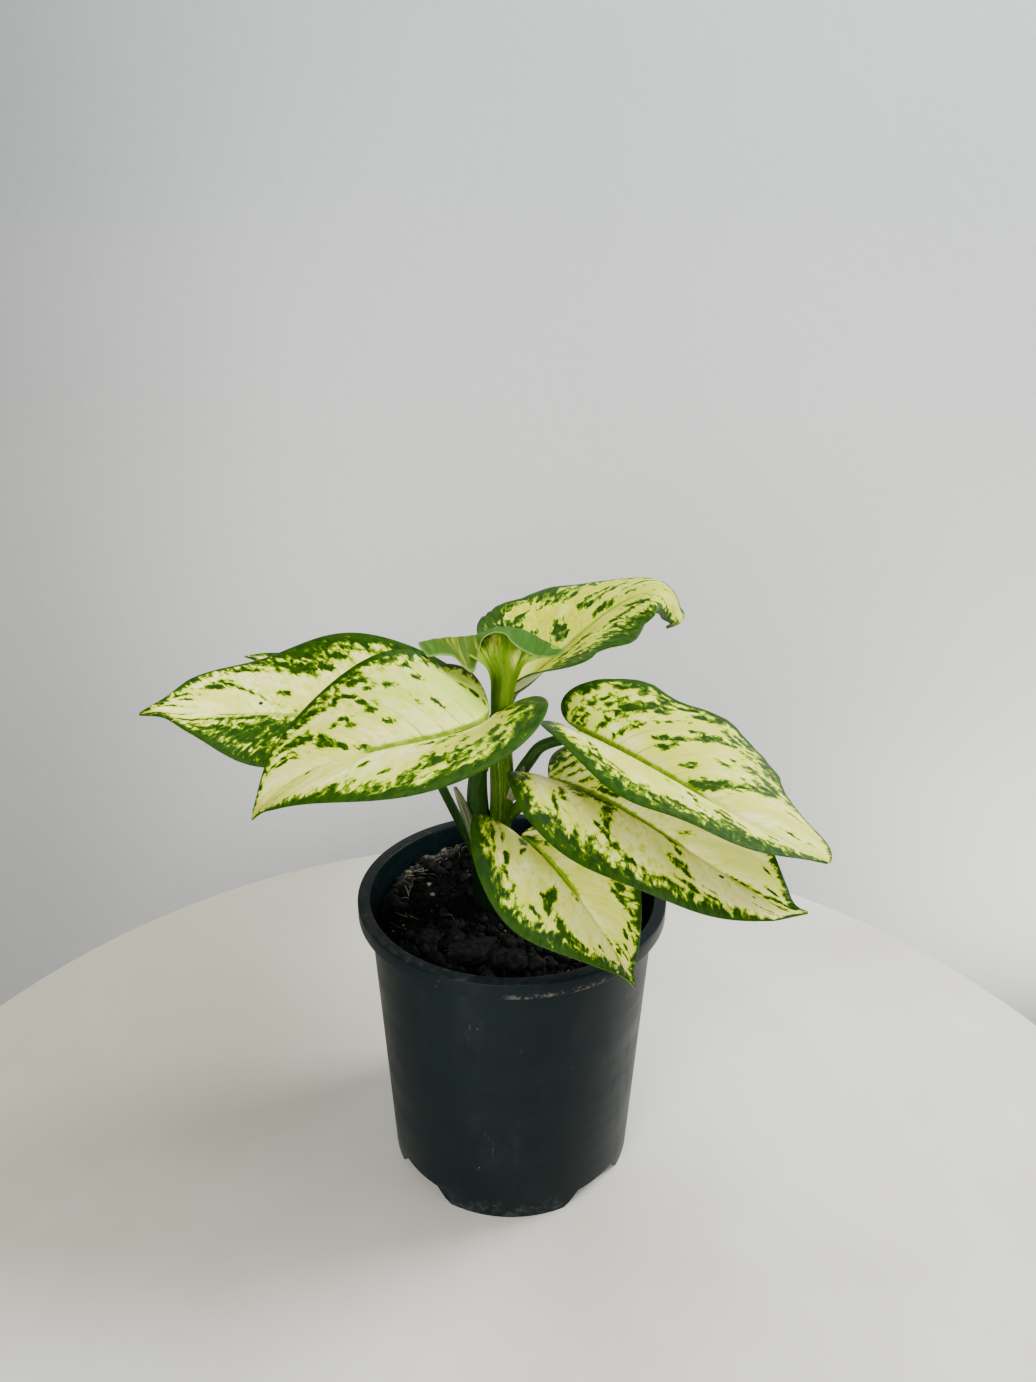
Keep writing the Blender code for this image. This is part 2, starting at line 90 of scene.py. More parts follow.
def wavy(x, y, seed):
    """Cheap smooth noise for whole arrays: a few seeded sine waves."""
    rng = random.Random(seed)
    total, waves = 0, 5
    for _ in range(waves):
        a, b, c = rng.uniform(-1, 1), rng.uniform(-1, 1), rng.uniform(0, 6.3)
        total = total + np.sin(a * x + b * y + c)
    return total / waves


# ---- camera: fitted to the rim and the foot of the pot in the photograph ---------------------
CAMERA_PITCH, CAMERA_YAW, CAMERA_ROLL = 21.89, 0.32, 0.30
CAMERA_PLACE, SENSOR_WIDTH, FOCAL_LENGTH = (0, -0.3705, 0.3676), 36, 26.54


def make_camera():
    pitch, yaw, roll = map(math.radians, (CAMERA_PITCH, CAMERA_YAW, CAMERA_ROLL))
    ahead = Vector((math.sin(yaw) * math.cos(pitch), math.cos(yaw) * math.cos(pitch),
                    -math.sin(pitch)))
    right = Vector((math.cos(yaw), -math.sin(yaw), 0))
    up = right.cross(ahead)
    side = right * math.cos(roll) + up * math.sin(roll)
    top = up * math.cos(roll) - right * math.sin(roll)
    data = bpy.data.cameras.new("camera")
    data.sensor_width, data.lens, data.clip_start = SENSOR_WIDTH, FOCAL_LENGTH, 0.01
    cam = add_object("camera", data)
    cam.matrix_world = Matrix((*((side[k], top[k], -ahead[k], CAMERA_PLACE[k]) for k in range(3)),
                               (0, 0, 0, 1)))
    bpy.context.scene.camera = cam


# ---- materials -----------------------------------------------------------------------------
class Tree:
    """Short way to write a material's nodes.  A value is a number, a tuple or another socket."""

    def __init__(self, name):
        self.mat = bpy.data.materials.new(name)
        self.mat.use_nodes = True
        self.nodes, self.links = self.mat.node_tree.nodes, self.mat.node_tree.links
        self.shader = self.nodes["Principled BSDF"]

    def link(self, value, socket):
        if hasattr(value, "is_output"):
            self.links.new(value, socket)
        else:
            socket.default_value = (*value, 1) if socket.type == "RGBA" else value

    def node(self, kind, inputs=(), **settings):
        node = self.nodes.new("ShaderNode" + kind)
        for name, value in settings.items():
            setattr(node, name, value)
        for socket, value in dict(inputs).items():
            self.link(value, node.inputs[socket])
        return node

    def math(self, how, *values, clamp=False):
        return self.node("Math", enumerate(values), operation=how, use_clamp=clamp).outputs[0]

    def times(self, first, *others):
        for other in others:
            first = self.math("MULTIPLY", first, other)
        return first

    def swing(self, base, wave, amount):
        """The base, plus a wave between 0 and 1 swung around its middle."""
        return self.math("MULTIPLY_ADD", self.math("SUBTRACT", wave, 0.5), amount, base)

    def off(self, value, middle):
        return self.math("ABSOLUTE", self.math("SUBTRACT", value, middle))

    def span(self, value, low, high, a=0.0, b=1.0):
        """Smooth ramp from a, where the value is low, to b, where it is high."""
        return self.node("MapRange", enumerate((value, low, high, a, b)),
                         interpolation_type="SMOOTHSTEP").outputs[0]

    def mix(self, share, a, b, how="MIX"):
        return self.node("Mix", {6: a, 7: b, 0: share}, data_type="RGBA",
                         blend_type=how).outputs[2]

    def ramp(self, value, low, high, a, b, how="MIX"):
        """Colour a where the value is low, mixed towards b where it is high."""
        return self.mix(self.span(value, low, high), a, b, how)

    def attribute(self, name, kind="Fac"):
        return self.node("Attribute", attribute_name=name).outputs[kind]

    def position(self):
        return self.node("TexCoord").outputs["Object"]

    def split(self, vector):
        return self.node("SeparateXYZ", {0: vector}).outputs

    def scaled(self, vector, scale, shift=(0, 0, 0)):
        return self.node("Mapping", {0: vector, "Scale": scale, "Location": shift}).outputs[0]

    def noise(self, vector, scale, detail=3.0, rough=0.55, warp=0.0, shift=(0, 0, 0)):
        """Noise between 0 and 1.  A scale of three numbers draws it out."""
        if isinstance(scale, tuple):
            vector, scale = self.scaled(vector, scale, shift), 1.0
        return self.node("TexNoise", {"Vector": vector, "Scale": scale, "Detail": detail,
                                      "Roughness": rough, "Distortion": warp}).outputs[0]

    def cells(self, vector, scale):
        return self.node("TexVoronoi", {"Vector": vector, "Scale": scale}).outputs["Distance"]

    def bump(self, height, distance, strength=1.0, below=None):
        inputs = {"Strength": strength, "Distance": distance, "Height": height}
        if below is not None:
            inputs["Normal"] = below
        return self.node("Bump", inputs).outputs[0]

    def finish(self, colour, rough, normal, **constants):
        inputs = {"Base Color": colour, "Roughness": rough}
        if normal is not None:
            inputs["Normal"] = normal
        for name, value in {**inputs, **constants}.items():
            self.link(value, self.shader.inputs[name.replace("_", " ")])
        return self.mat


PALE, CREAM, CREAM_DIM = (0.85, 0.82, 0.50), (0.76, 0.74, 0.25), (0.64, 0.65, 0.125)
YELLOW, GOLD = (0.50, 0.57, 0.025), (0.39, 0.41, 0.011)
LIME, MID = (0.30, 0.42, 0.002), (0.085, 0.157, 0.0)
DARK, DEEP = (0.017, 0.050, 0.001), (0.008, 0.032, 0.001)
# PALE_GREEN serves the pale streaks and also a painted glow; the olive is partly painted shade.
PALE_GREEN, OLIVE_SHADE, UNDER = (0.40, 0.55, 0.05), (0.36, 0.38, 0.03), (0.10, 0.21, 0.035)
SIDE_VEIN, RIB_LIGHT, RIB_DARK = (0.26, 0.36, 0.01), (0.24, 0.35, 0.002), (0.12, 0.21, 0.001)
BLEMISH, BELLY = (0.030, 0.022, 0.012), (0.66, 0.70, 0.32)
LEAF_SCATTER = 0.0006


def leaf_material():
    """Variegated blade.  The mesh carries how green each spot leans, and noise breaks that
    into ragged strokes with a yellow and lime halo."""
    t = Tree("leaf_blade")
    lean, tint_and_shading, under, rib = (t.attribute("leaf_" + a) for a in ("green", "tint_and_shading", "under", "rib"))
    place, flat = t.attribute("leaf_map", "Vector"), t.attribute("leaf_flat", "Vector")
    strokes = t.noise(flat, (0.22, 0.15, 1), 4.0, 0.62, 0.5)
    ragged = t.noise(flat, (0.42, 0.33, 1), 3.0, 0.55, 0.5, (11, 3, 5))
    fine = t.noise(flat, (1.5, 1.3, 1), 2.0, 0.5, shift=(4, 9, 2))
    uneven = t.swing(t.swing(t.swing(0.0, strokes, 1.5), ragged, 2.5), fine, 0.5)
    level = t.math("MULTIPLY_ADD", uneven, t.span(lean, 0.05, 0.55, 0.45, 1.0), lean)

    wide = t.noise(place, (0.07, 0.06, 1), 2.0, 0.5, shift=(2, 7, 1))
    streak = t.noise(place, (1.2, 0.07, 1), 3.0, 0.6, shift=(8, 1, 6))
    cream = t.ramp(wide, 0.28, 0.47, PALE, CREAM)
    cream = t.ramp(wide, 0.47, 0.63, cream, CREAM_DIM)
    cream = t.mix(t.times(t.span(streak, 0.45, 0.75), 0.14), cream, PALE_GREEN)
    wash = t.times(t.attribute("leaf_wash"), t.span(wide, 0.3, 0.6, 0.7, 1.0))
    cream = t.mix(wash, cream, GOLD)
    cream = t.mix(t.span(level, 0.06, 0.37, 0.0, 0.92), cream, YELLOW)
    # Pale green: partly the leaf's own tint, partly a painted glow of light shining through the
    # blade. Olive: partly its own colour, partly painted shade.
    cream = t.ramp(tint_and_shading, 0.0, 1.0, cream, PALE_GREEN)
    cream = t.ramp(tint_and_shading, 0.0, -1.0, cream, OLIVE_SHADE)
    line = t.span(t.off(t.math("FRACT", t.attribute("leaf_vein")), 0.5), 0.440, 0.490)
    line = t.times(line, t.span(streak, 0.36, 0.56), t.attribute("leaf_net"))
    cream = t.mix(line, cream, SIDE_VEIN)

    leafy = t.ramp(level, 0.46, 0.57, LIME, MID)
    leafy = t.ramp(level, 0.62, 0.82, leafy, DARK)
    leafy = t.mix(t.times(t.span(ragged, 0.45, 0.65), t.span(level, 0.68, 0.9)), leafy, DEEP)
    colour = t.ramp(level, 0.39, 0.45, cream, leafy)
    colour = t.mix(t.span(t.swing(rib, ragged, 0.5), 0.15, 0.60), colour,
                   t.ramp(strokes, 0.35, 0.55, RIB_LIGHT, RIB_DARK))
    spot = t.math("MULTIPLY_ADD", ragged, 0.25, t.attribute("leaf_spot"))
    colour = t.ramp(spot, 0.5, 0.7, colour, BLEMISH)
    colour = t.mix(under, colour, t.ramp(level, 0.42, 0.56, BELLY, UNDER))

    vein = t.noise(place, (0.5, 0.03, 1), 2.0, 0.5, shift=(1, 1, 1))
    pores = t.noise(place, (7, 7, 1), 2.0, 0.6)
    normal = t.bump(t.math("MULTIPLY_ADD", pores, 0.12, vein), 0.0003, 0.5)
    rough = t.math("MULTIPLY_ADD", under, 0.18, t.span(pores, 0.3, 0.7, 0.36, 0.50))
    return t.finish(colour, rough, normal, Subsurface_Weight=0.10,
                    Subsurface_Radius=(0.9, 1.0, 0.25), Subsurface_Scale=LEAF_SCATTER,
                    Specular_IOR_Level=0.06)


def young_material():
    """Half-rolled young leaf: streaked inside and on its left wing, plain green outside."""
    t = Tree("leaf_young")
    place, under = t.attribute("leaf_map", "Vector"), t.attribute("leaf_under")
    strokes = t.noise(place, (0.30, 0.045, 1), 4.0, 0.6, 0.5, (3, 0, 2))
    fine = t.noise(place, (1.3, 0.12, 1), 3.0, 0.6, shift=(0, 5, 4))
    mixed = t.math("MULTIPLY_ADD", fine, 0.40, t.times(strokes, 0.80))
    inner = t.ramp(mixed, 0.40, 0.66, (0.040, 0.120, 0.001), (0.15, 0.26, 0.004))
    pale = t.times(t.span(mixed, 0.56, 0.70), t.attribute("leaf_wash"))
    inner = t.mix(pale, inner, (0.60, 0.62, 0.10))
    outer = t.ramp(fine, 0.3, 0.7, (0.028, 0.082, 0.008), (0.042, 0.110, 0.016))
    streaky = t.ramp(mixed, 0.56, 0.76, (0.038, 0.080, 0.004), (0.23, 0.25, 0.016))
    outer = t.mix(t.attribute("leaf_tint_and_shading"), outer, streaky)
    colour = t.mix(under, inner, outer)
    # Real dark green with painted shade: the lower part of the rolled leaf darkens, most on its
    # left.
    low = t.times(t.attribute("leaf_green"), t.span(fine, 0.3, 0.7, 0.6, 1.0))
    colour = t.mix(low, colour, (0.016, 0.055, 0.001))
    colour = t.mix(t.attribute("leaf_rib"), colour, (0.20, 0.32, 0.06))
    return t.finish(colour, t.span(strokes, 0.3, 0.7, 0.46, 0.6), t.bump(fine, 0.0005, 0.5),
                    Subsurface_Weight=0.1, Subsurface_Radius=(0.8, 1.0, 0.25),
                    Subsurface_Scale=LEAF_SCATTER, Specular_IOR_Level=0.03)


def stalk_material(name, deep, light, fleck):
    """Fleshy stalk: dark skin with pale flecks drawn out along it, and painted shade that darkens
    it low down, under the blades.
    """
    t = Tree(name)
    place = t.attribute("stalk_map", "Vector")
    long = t.noise(place, (0.9, 0.9, 0.06), 3.0, 0.6, 0.2)
    flecks = t.noise(place, (1.8, 1.8, 0.35), 3.0, 0.65, shift=(5, 2, 1))
    ribs = t.noise(place, (2.6, 2.6, 0.03), 1.0, 0.5, shift=(1, 7, 3))
    colour = t.ramp(long, 0.35, 0.65, deep, light)
    colour = t.mix(t.times(t.span(flecks, 0.58, 0.70), 0.8), colour, fleck)
    # Painted shade: below 205 mm the stalks darken, as in the shadow of the blades above.
    height = t.split(t.position())[2]
    colour = t.mix(t.span(height, 0.205, 0.160, 0.0, 0.80), colour, (0.15, 0.26, 0.20), "MULTIPLY")
    return t.finish(colour, t.span(flecks, 0.3, 0.7, 0.34, 0.52), t.bump(ribs, 0.0005, 0.5),
                    Specular_IOR_Level=0.12, Subsurface_Weight=0.08,
                    Subsurface_Radius=(0.8, 1.0, 0.3), Subsurface_Scale=0.001)


def soil_material(name, lift):
    """Damp potting mix with a dry crust; lift makes it browner and brighter."""
    t = Tree(name)
    at = t.position()
    lumps = t.noise(at, 420, 5.0, 0.7)
    grit = t.cells(at, 900)
    patch = t.noise(at, 60, 3.0, 0.6)
    dark, brown = (tuple(lift * c for c in colour)
                   for colour in ((0.0002, 0.0003, 0.0003), (0.0014, 0.0013, 0.0011)))
    colour = t.ramp(lumps, 0.42, 0.72, dark, brown)
    crust = t.ramp(lumps, 0.35, 0.65, (0.040, 0.038, 0.033), (0.19, 0.185, 0.16))
    dry = t.times(t.attribute("soil_dry"), t.span(patch, 0.35, 0.55))
    colour = t.mix(dry, colour, crust)
    colour = t.mix(t.times(t.span(grit, 0.10, 0.04), 0.25), colour, (0.09, 0.07, 0.045))
    normal = t.bump(t.noise(at, 1500, 3.0, 0.7), 0.0004, 0.8, t.bump(lumps, 0.0012, 0.8))
    return t.finish(colour, t.span(lumps, 0.3, 0.7, 0.62, 0.97), normal, Specular_IOR_Level=0.06)


def grain_material(name, low, high, scale, rough=(0.6, 0.9), **more):
    t = Tree(name)
    at = t.position()
    tone = t.noise(at, scale, 4.0, 0.6)
    colour = t.ramp(tone, 0.3, 0.7, low, high)
    normal = t.bump(t.noise(at, scale * 3, 3.0, 0.6), 0.0003, 0.6)
    return t.finish(colour, t.span(tone, 0.3, 0.7, *rough), normal, **more)


def pot_material():
    """Moulded black plastic: satin, faint flow marks, scuffs, soil dust on the lip."""
    t = Tree("pot_plastic")
    at = t.position()
    x, y, z = t.split(at)
    upward = t.split(t.node("NewGeometry").outputs["Normal"])[2]
    flow = t.noise(at, (14, 14, 60), 4.0, 0.6, 0.3)
    grain = t.noise(at, 2600, 2.0, 0.6)
    smear = t.noise(at, (60, 60, 22), 4.0, 0.65, 0.5, (3, 1, 2))
    colour = t.ramp(flow, 0.3, 0.7, (0.0008, 0.0040, 0.0050), (0.0020, 0.0062, 0.0076))
    haze = t.times(t.span(smear, 0.52, 0.78), 0.30)
    colour = t.mix(haze, colour, (0.022, 0.026, 0.026))
    specks = t.cells(t.scaled(at, (1, 1, 0.8)), 420)
    rare = t.span(t.noise(at, 95, 2.0, 0.5), 0.60, 0.70)
    colour = t.mix(t.times(t.span(specks, 0.10, 0.05), rare), colour, (0.25, 0.24, 0.21))
    scratch = t.noise(at, (900, 900, 45), 2.0, 0.5, 1.2, (2, 9, 4))
    marks = t.times(t.span(scratch, 0.70, 0.76), t.span(smear, 0.5, 0.62), 0.30)
    colour = t.mix(marks, colour, (0.13, 0.14, 0.14))

    # Soil dust: on the lip, most on the left, a thin line on the band in front, and the foot.
    dust = t.noise(at, 330, 4.0, 0.7)
    on_top = t.times(t.span(upward, 0.55, 0.95), t.span(z, 0.118, 0.122))
    on_lip = t.times(on_top, t.span(x, 0.030, -0.055, 0.15, 1.0), t.span(dust, 0.50, 0.66))
    colour = t.mix(t.times(on_lip, 0.40), colour, (0.070, 0.058, 0.042))
    line = t.times(t.span(t.off(z, 0.1232), 0.0016, 0.0003), t.span(dust, 0.46, 0.60))
    front = t.times(t.span(t.off(x, 0.017), 0.026, 0.012), t.span(y, -0.045, -0.056))
    colour = t.mix(t.times(line, front, 0.45), colour, (0.16, 0.15, 0.12))
    foot = t.times(t.span(z, 0.012, 0.001), t.span(dust, 0.45, 0.65), 0.30)
    colour = t.mix(foot, colour, (0.10, 0.095, 0.085))
    rough = t.math("MULTIPLY_ADD", haze, 0.6, t.span(flow, 0.3, 0.7, 0.36, 0.46))
    rough = t.math("MULTIPLY_ADD", on_lip, 0.4, rough, clamp=True)
    normal = t.bump(grain, 0.00012, 0.35, t.bump(flow, 0.0010, 0.2))
    return t.finish(colour, rough, normal, Specular_IOR_Level=0.085)


# ---- meshes --------------------------------------------------------------------------------
def new_piece(name, mesh, mat, replaces=()):
    item = add_object(name, mesh)
    mesh.materials.append(mat)
    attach(item, "root")
    if replaces:
        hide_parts(*replaces)


def build_mesh(name, points, faces, attributes):
    """Mesh from millimetre points and equal-sided faces, with per-point attributes."""
    mesh = bpy.data.meshes.new(name)
    points, faces = np.asarray(points, np.float64) * MM, np.asarray(faces, np.int32)
    count, sides = faces.shape
    mesh.vertices.add(len(points))
    mesh.vertices.foreach_set("co", points.astype(np.float32).ravel())
    mesh.loops.add(count * sides)
    mesh.loops.foreach_set("vertex_index", faces.ravel())
    mesh.polygons.add(count)
    mesh.polygons.foreach_set("loop_start", np.arange(0, count * sides, sides, dtype=np.int32))
    mesh.polygons.foreach_set("use_smooth", np.ones(count, bool))
    mesh.update(calc_edges=True)
    mesh.validate()
    for key, values in attributes.items():
        values = np.asarray(values, np.float32)
        kind, field = ("FLOAT_VECTOR", "vector") if values.ndim == 2 else ("FLOAT", "value")
        mesh.attributes.new(key, kind, "POINT").data.foreach_set(field, values.ravel())
    return mesh


def grid_faces(index, after):
    """Quads between two sets of neighbouring points, each given row by row."""
    return np.stack([index[:-1].ravel(), after[:-1].ravel(), after[1:].ravel(),
                     index[1:].ravel()], 1)


def ring_faces(levels, around):
    """Faces of a stack of rings, closed by fans to two points that follow the rings."""
    index = np.arange(levels * around).reshape(levels, around)
    ends = []
    for a in range(0, around, 2):
        b, c = a + 1, (a + 2) % around
        ends.append((index.size, index[0, c], index[0, b], index[0, a]))
        ends.append((index.size + 1, index[-1, a], index[-1, b], index[-1, c]))
    return np.concatenate([grid_faces(index, np.roll(index, -1, axis=1)), ends])


# ---- pot: the CAD pot's own profile with fine steps ------------------------------------------
TOP, BAND, SHOULDER, STEP, FLOOR = 128.6, 122.1, 127.1, 8.8, 1.8  # heights
RIM, BAND_INSIDE, LIP, FOOT, WALL = 65.0, 63.5, 60.0, 41.0, 1.6  # radii, and the thickness
DRAINS, DRAIN_TURN = 4, 43
NOTCH_IN, NOTCH_OUT, NOTCH_STEPS = 42, 70, 24
HOLE_PLACE, HOLE_RADIUS, HOLE_DEPTH = 47, 3, 8


def wall_radius(z):
    return 53.5 + 6.6 * min(z, BAND) / BAND


def rounded(corners, radius):
    """The profile's corners softened by short arcs."""
    points, steps = [corners[0]], 4
    for before, corner, after in zip(corners, corners[1:], corners[2:]):
        b, c, a = (np.array(p, float) for p in (before, corner, after))
        back, on = np.linalg.norm(b - c), np.linalg.norm(a - c)
        r = min(radius, back * 0.4, on * 0.4)
        start, end = c + (b - c) / back * r, c + (a - c) / on * r
        for k in range(steps + 1):
            u = k / steps
            points.append(tuple((1 - u) ** 2 * start + 2 * u * (1 - u) * c + u * u * end))
    return points + [corners[-1]]


def pot_body():
    """The pot as a turned profile, without its drainage."""
    outside = [(wall_radius(z), z) for z in (BAND, 90, 60, 30, 8.2, 0)]
    profile = rounded([
        (4, FLOOR), (38.4, FLOOR), (40.2, STEP), (wall_radius(STEP) - WALL, STEP),
        (wall_radius(BAND) - WALL, BAND), (59.5, SHOULDER), (LIP, TOP), (RIM, TOP), (RIM, BAND),
        (BAND_INSIDE, BAND), (BAND_INSIDE, SHOULDER), (wall_radius(BAND) + 0.6, SHOULDER),
        *outside, (FOOT, 0), (4, 0)], 0.55)
    bm = bmesh.new()
    chain = [bm.verts.new((r * MM, 0, z * MM)) for r, z in profile]
    chain += [bm.verts.new((0, 0, 0)), bm.verts.new((0, 0, FLOOR * MM))]
    for a, b in zip(chain, chain[1:] + chain[:1]):
        bm.edges.new((a, b))
    bmesh.ops.spin(bm, geom=bm.verts[:] + bm.edges[:], cent=(0, 0, 0), axis=(0, 0, 1),
                   angle=2 * math.pi, steps=224, use_merge=True)
    bmesh.ops.remove_doubles(bm, verts=bm.verts, dist=1e-6)
    bmesh.ops.recalc_face_normals(bm, faces=bm.faces)
    return bm


def drain_notches():
    """Four tapered sectors that are cut out of the foot of the wall."""
    bm = bmesh.new()
    for k in range(DRAINS):
        turn = math.radians(DRAIN_TURN + 90 * k)
        rings = []
        for z, half in ((-1, 19 + 8 / 7), (7, 11)):
            for radius in (NOTCH_IN, NOTCH_OUT):
                rings.append([bm.verts.new(Matrix.Rotation(
                    turn + math.radians(-half + 2 * half * i / NOTCH_STEPS), 3, "Z")
                    @ Vector((radius * MM, 0, z * MM))) for i in range(NOTCH_STEPS + 1)])
        for a, b in ((0, 1), (3, 2), (2, 0), (1, 3)):
            for i in range(NOTCH_STEPS):
                bm.faces.new((rings[a][i], rings[a][i + 1], rings[b][i + 1], rings[b][i]))
        bm.faces.new([rings[r][0] for r in (0, 1, 3, 2)])
        bm.faces.new([rings[r][-1] for r in (0, 2, 3, 1)])
    bmesh.ops.recalc_face_normals(bm, faces=bm.faces)
    return bm


def drain_holes():
    """Round holes through the raised edge of the floor."""
    bm = bmesh.new()
    for k in range(DRAINS):
        spot = Matrix.Rotation(math.radians(DRAIN_TURN + 90 * k), 4, "Z") @ Matrix.Translation(
            Vector((HOLE_PLACE, 0, 7)) * MM)
        bmesh.ops.create_cone(bm, cap_ends=True, segments=32, radius1=HOLE_RADIUS * MM,
                              radius2=HOLE_RADIUS * MM, depth=HOLE_DEPTH * MM, matrix=spot)
    return bm


def make_pot():
    item = add_object("pot_shell", baked("pot_shell", pot_body()))
    helpers = [add_object("cut", baked("cut", tool)) for tool in (drain_holes(), drain_notches())]
    for helper in helpers:
        step = item.modifiers.new("cut", "BOOLEAN")
        step.operation, step.solver, step.object = "DIFFERENCE", "EXACT", helper
    bpy.context.view_layer.update()
    mesh = bpy.data.meshes.new_from_object(
        item.evaluated_get(bpy.context.evaluated_depsgraph_get()))
    for extra in helpers + [item]:
        bpy.data.objects.remove(extra, do_unlink=True)
    mesh.polygons.foreach_set("use_smooth", np.ones(len(mesh.polygons), bool))
    mesh.set_sharp_from_angle(angle=math.radians(32))
    new_piece("pot_skin", mesh, pot_material(), ["pot"])


# ---- leaves: the same blade curves as the CAD ------------------------------------------------
# width, fold, flat and curl are (left half, right half); heading, pitch and roll are
# (foot, middle, tip); wave is (height, phase left, phase right).
LEAVES = {
    "left": dict(base=(-9, -6, 210), length=106.5, width=(31.5, 36.5), shape=(0.59, 0.89),
                 lobe=0.95, heading=(248, 190, 198), pitch=(0, -9, -56), roll=(-1, -16, 2),
                 fold=(34, 42), flat=(8, 14), curl=(31, 0), wave=(1.9, -0.1, 0.3)),
    "far_left": dict(base=(-33, 10, 192), length=118.5, width=(32.5, 39.5), shape=(0.47, 0.77),
                     lobe=0.66, heading=(161, 181, 198), pitch=(17, 3, 14), roll=(-31, -16, -10),
                     fold=(19, 29), flat=(7, 16), curl=(41, 11), wave=(3.2, 0.4, 0.4)),
    "back_left": dict(base=(-14, 38, 172), length=116.5, width=(22, 22), shape=(0.55, 0.95),
                      lobe=0.5, heading=(171, 168, 170), pitch=(24, 24, 0), roll=(-14, -8, 0),
                      fold=(15, 15), flat=(5, 5), curl=(10, 10), wave=(0.8, 0, 0.5)),
    "top_right": dict(base=(-1.5, 25, 209), length=106.2, width=(38.5, 32.5), shape=(0.42, 0.72),
                      lobe=0.27, heading=(43.5, 21, -35.5), pitch=(3.5, 33.5, -15),
                      roll=(-3.5, -2, 1), fold=(53, 45), flat=(-14, -19), curl=(15.5, 25),
                      wave=(-1.7, -0.07, 0.05), hook=(0.73, -133)),
    "right": dict(base=(26, 4.5, 200), length=113.5, width=(39, 35), shape=(0.8, 0.65),
                  lobe=0.85, heading=(-44, -45, -39), pitch=(-2, -9, -5), roll=(11, -1, -11),
                  fold=(63, 37), flat=(4, 18), curl=(46, 28), wave=(-1.7, -0.25, 0.35)),
    "right_low": dict(base=(14.5, -3.5, 181.5), length=113.5, width=(34, 34), shape=(0.48, 0.8),
                      lobe=0.75, heading=(-44, -42, -23), pitch=(12, -12, -19), roll=(-9, 8, 2),
                      fold=(30, 32), flat=(17, 10), curl=(-7, 52), wave=(-2.9, 0.05, 0.5)),
    "front": dict(base=(3, -11.5, 160), length=77.5, width=(27.5, 32.5), shape=(0.53, 0.94),
                  lobe=0.6, heading=(-58, -51, -50), pitch=(8, -28, -41), roll=(-21, 16, -29),
                  fold=(26, 29), flat=(12, 14), curl=(10, 30), wave=(0.6, 0, 0.6)),
}
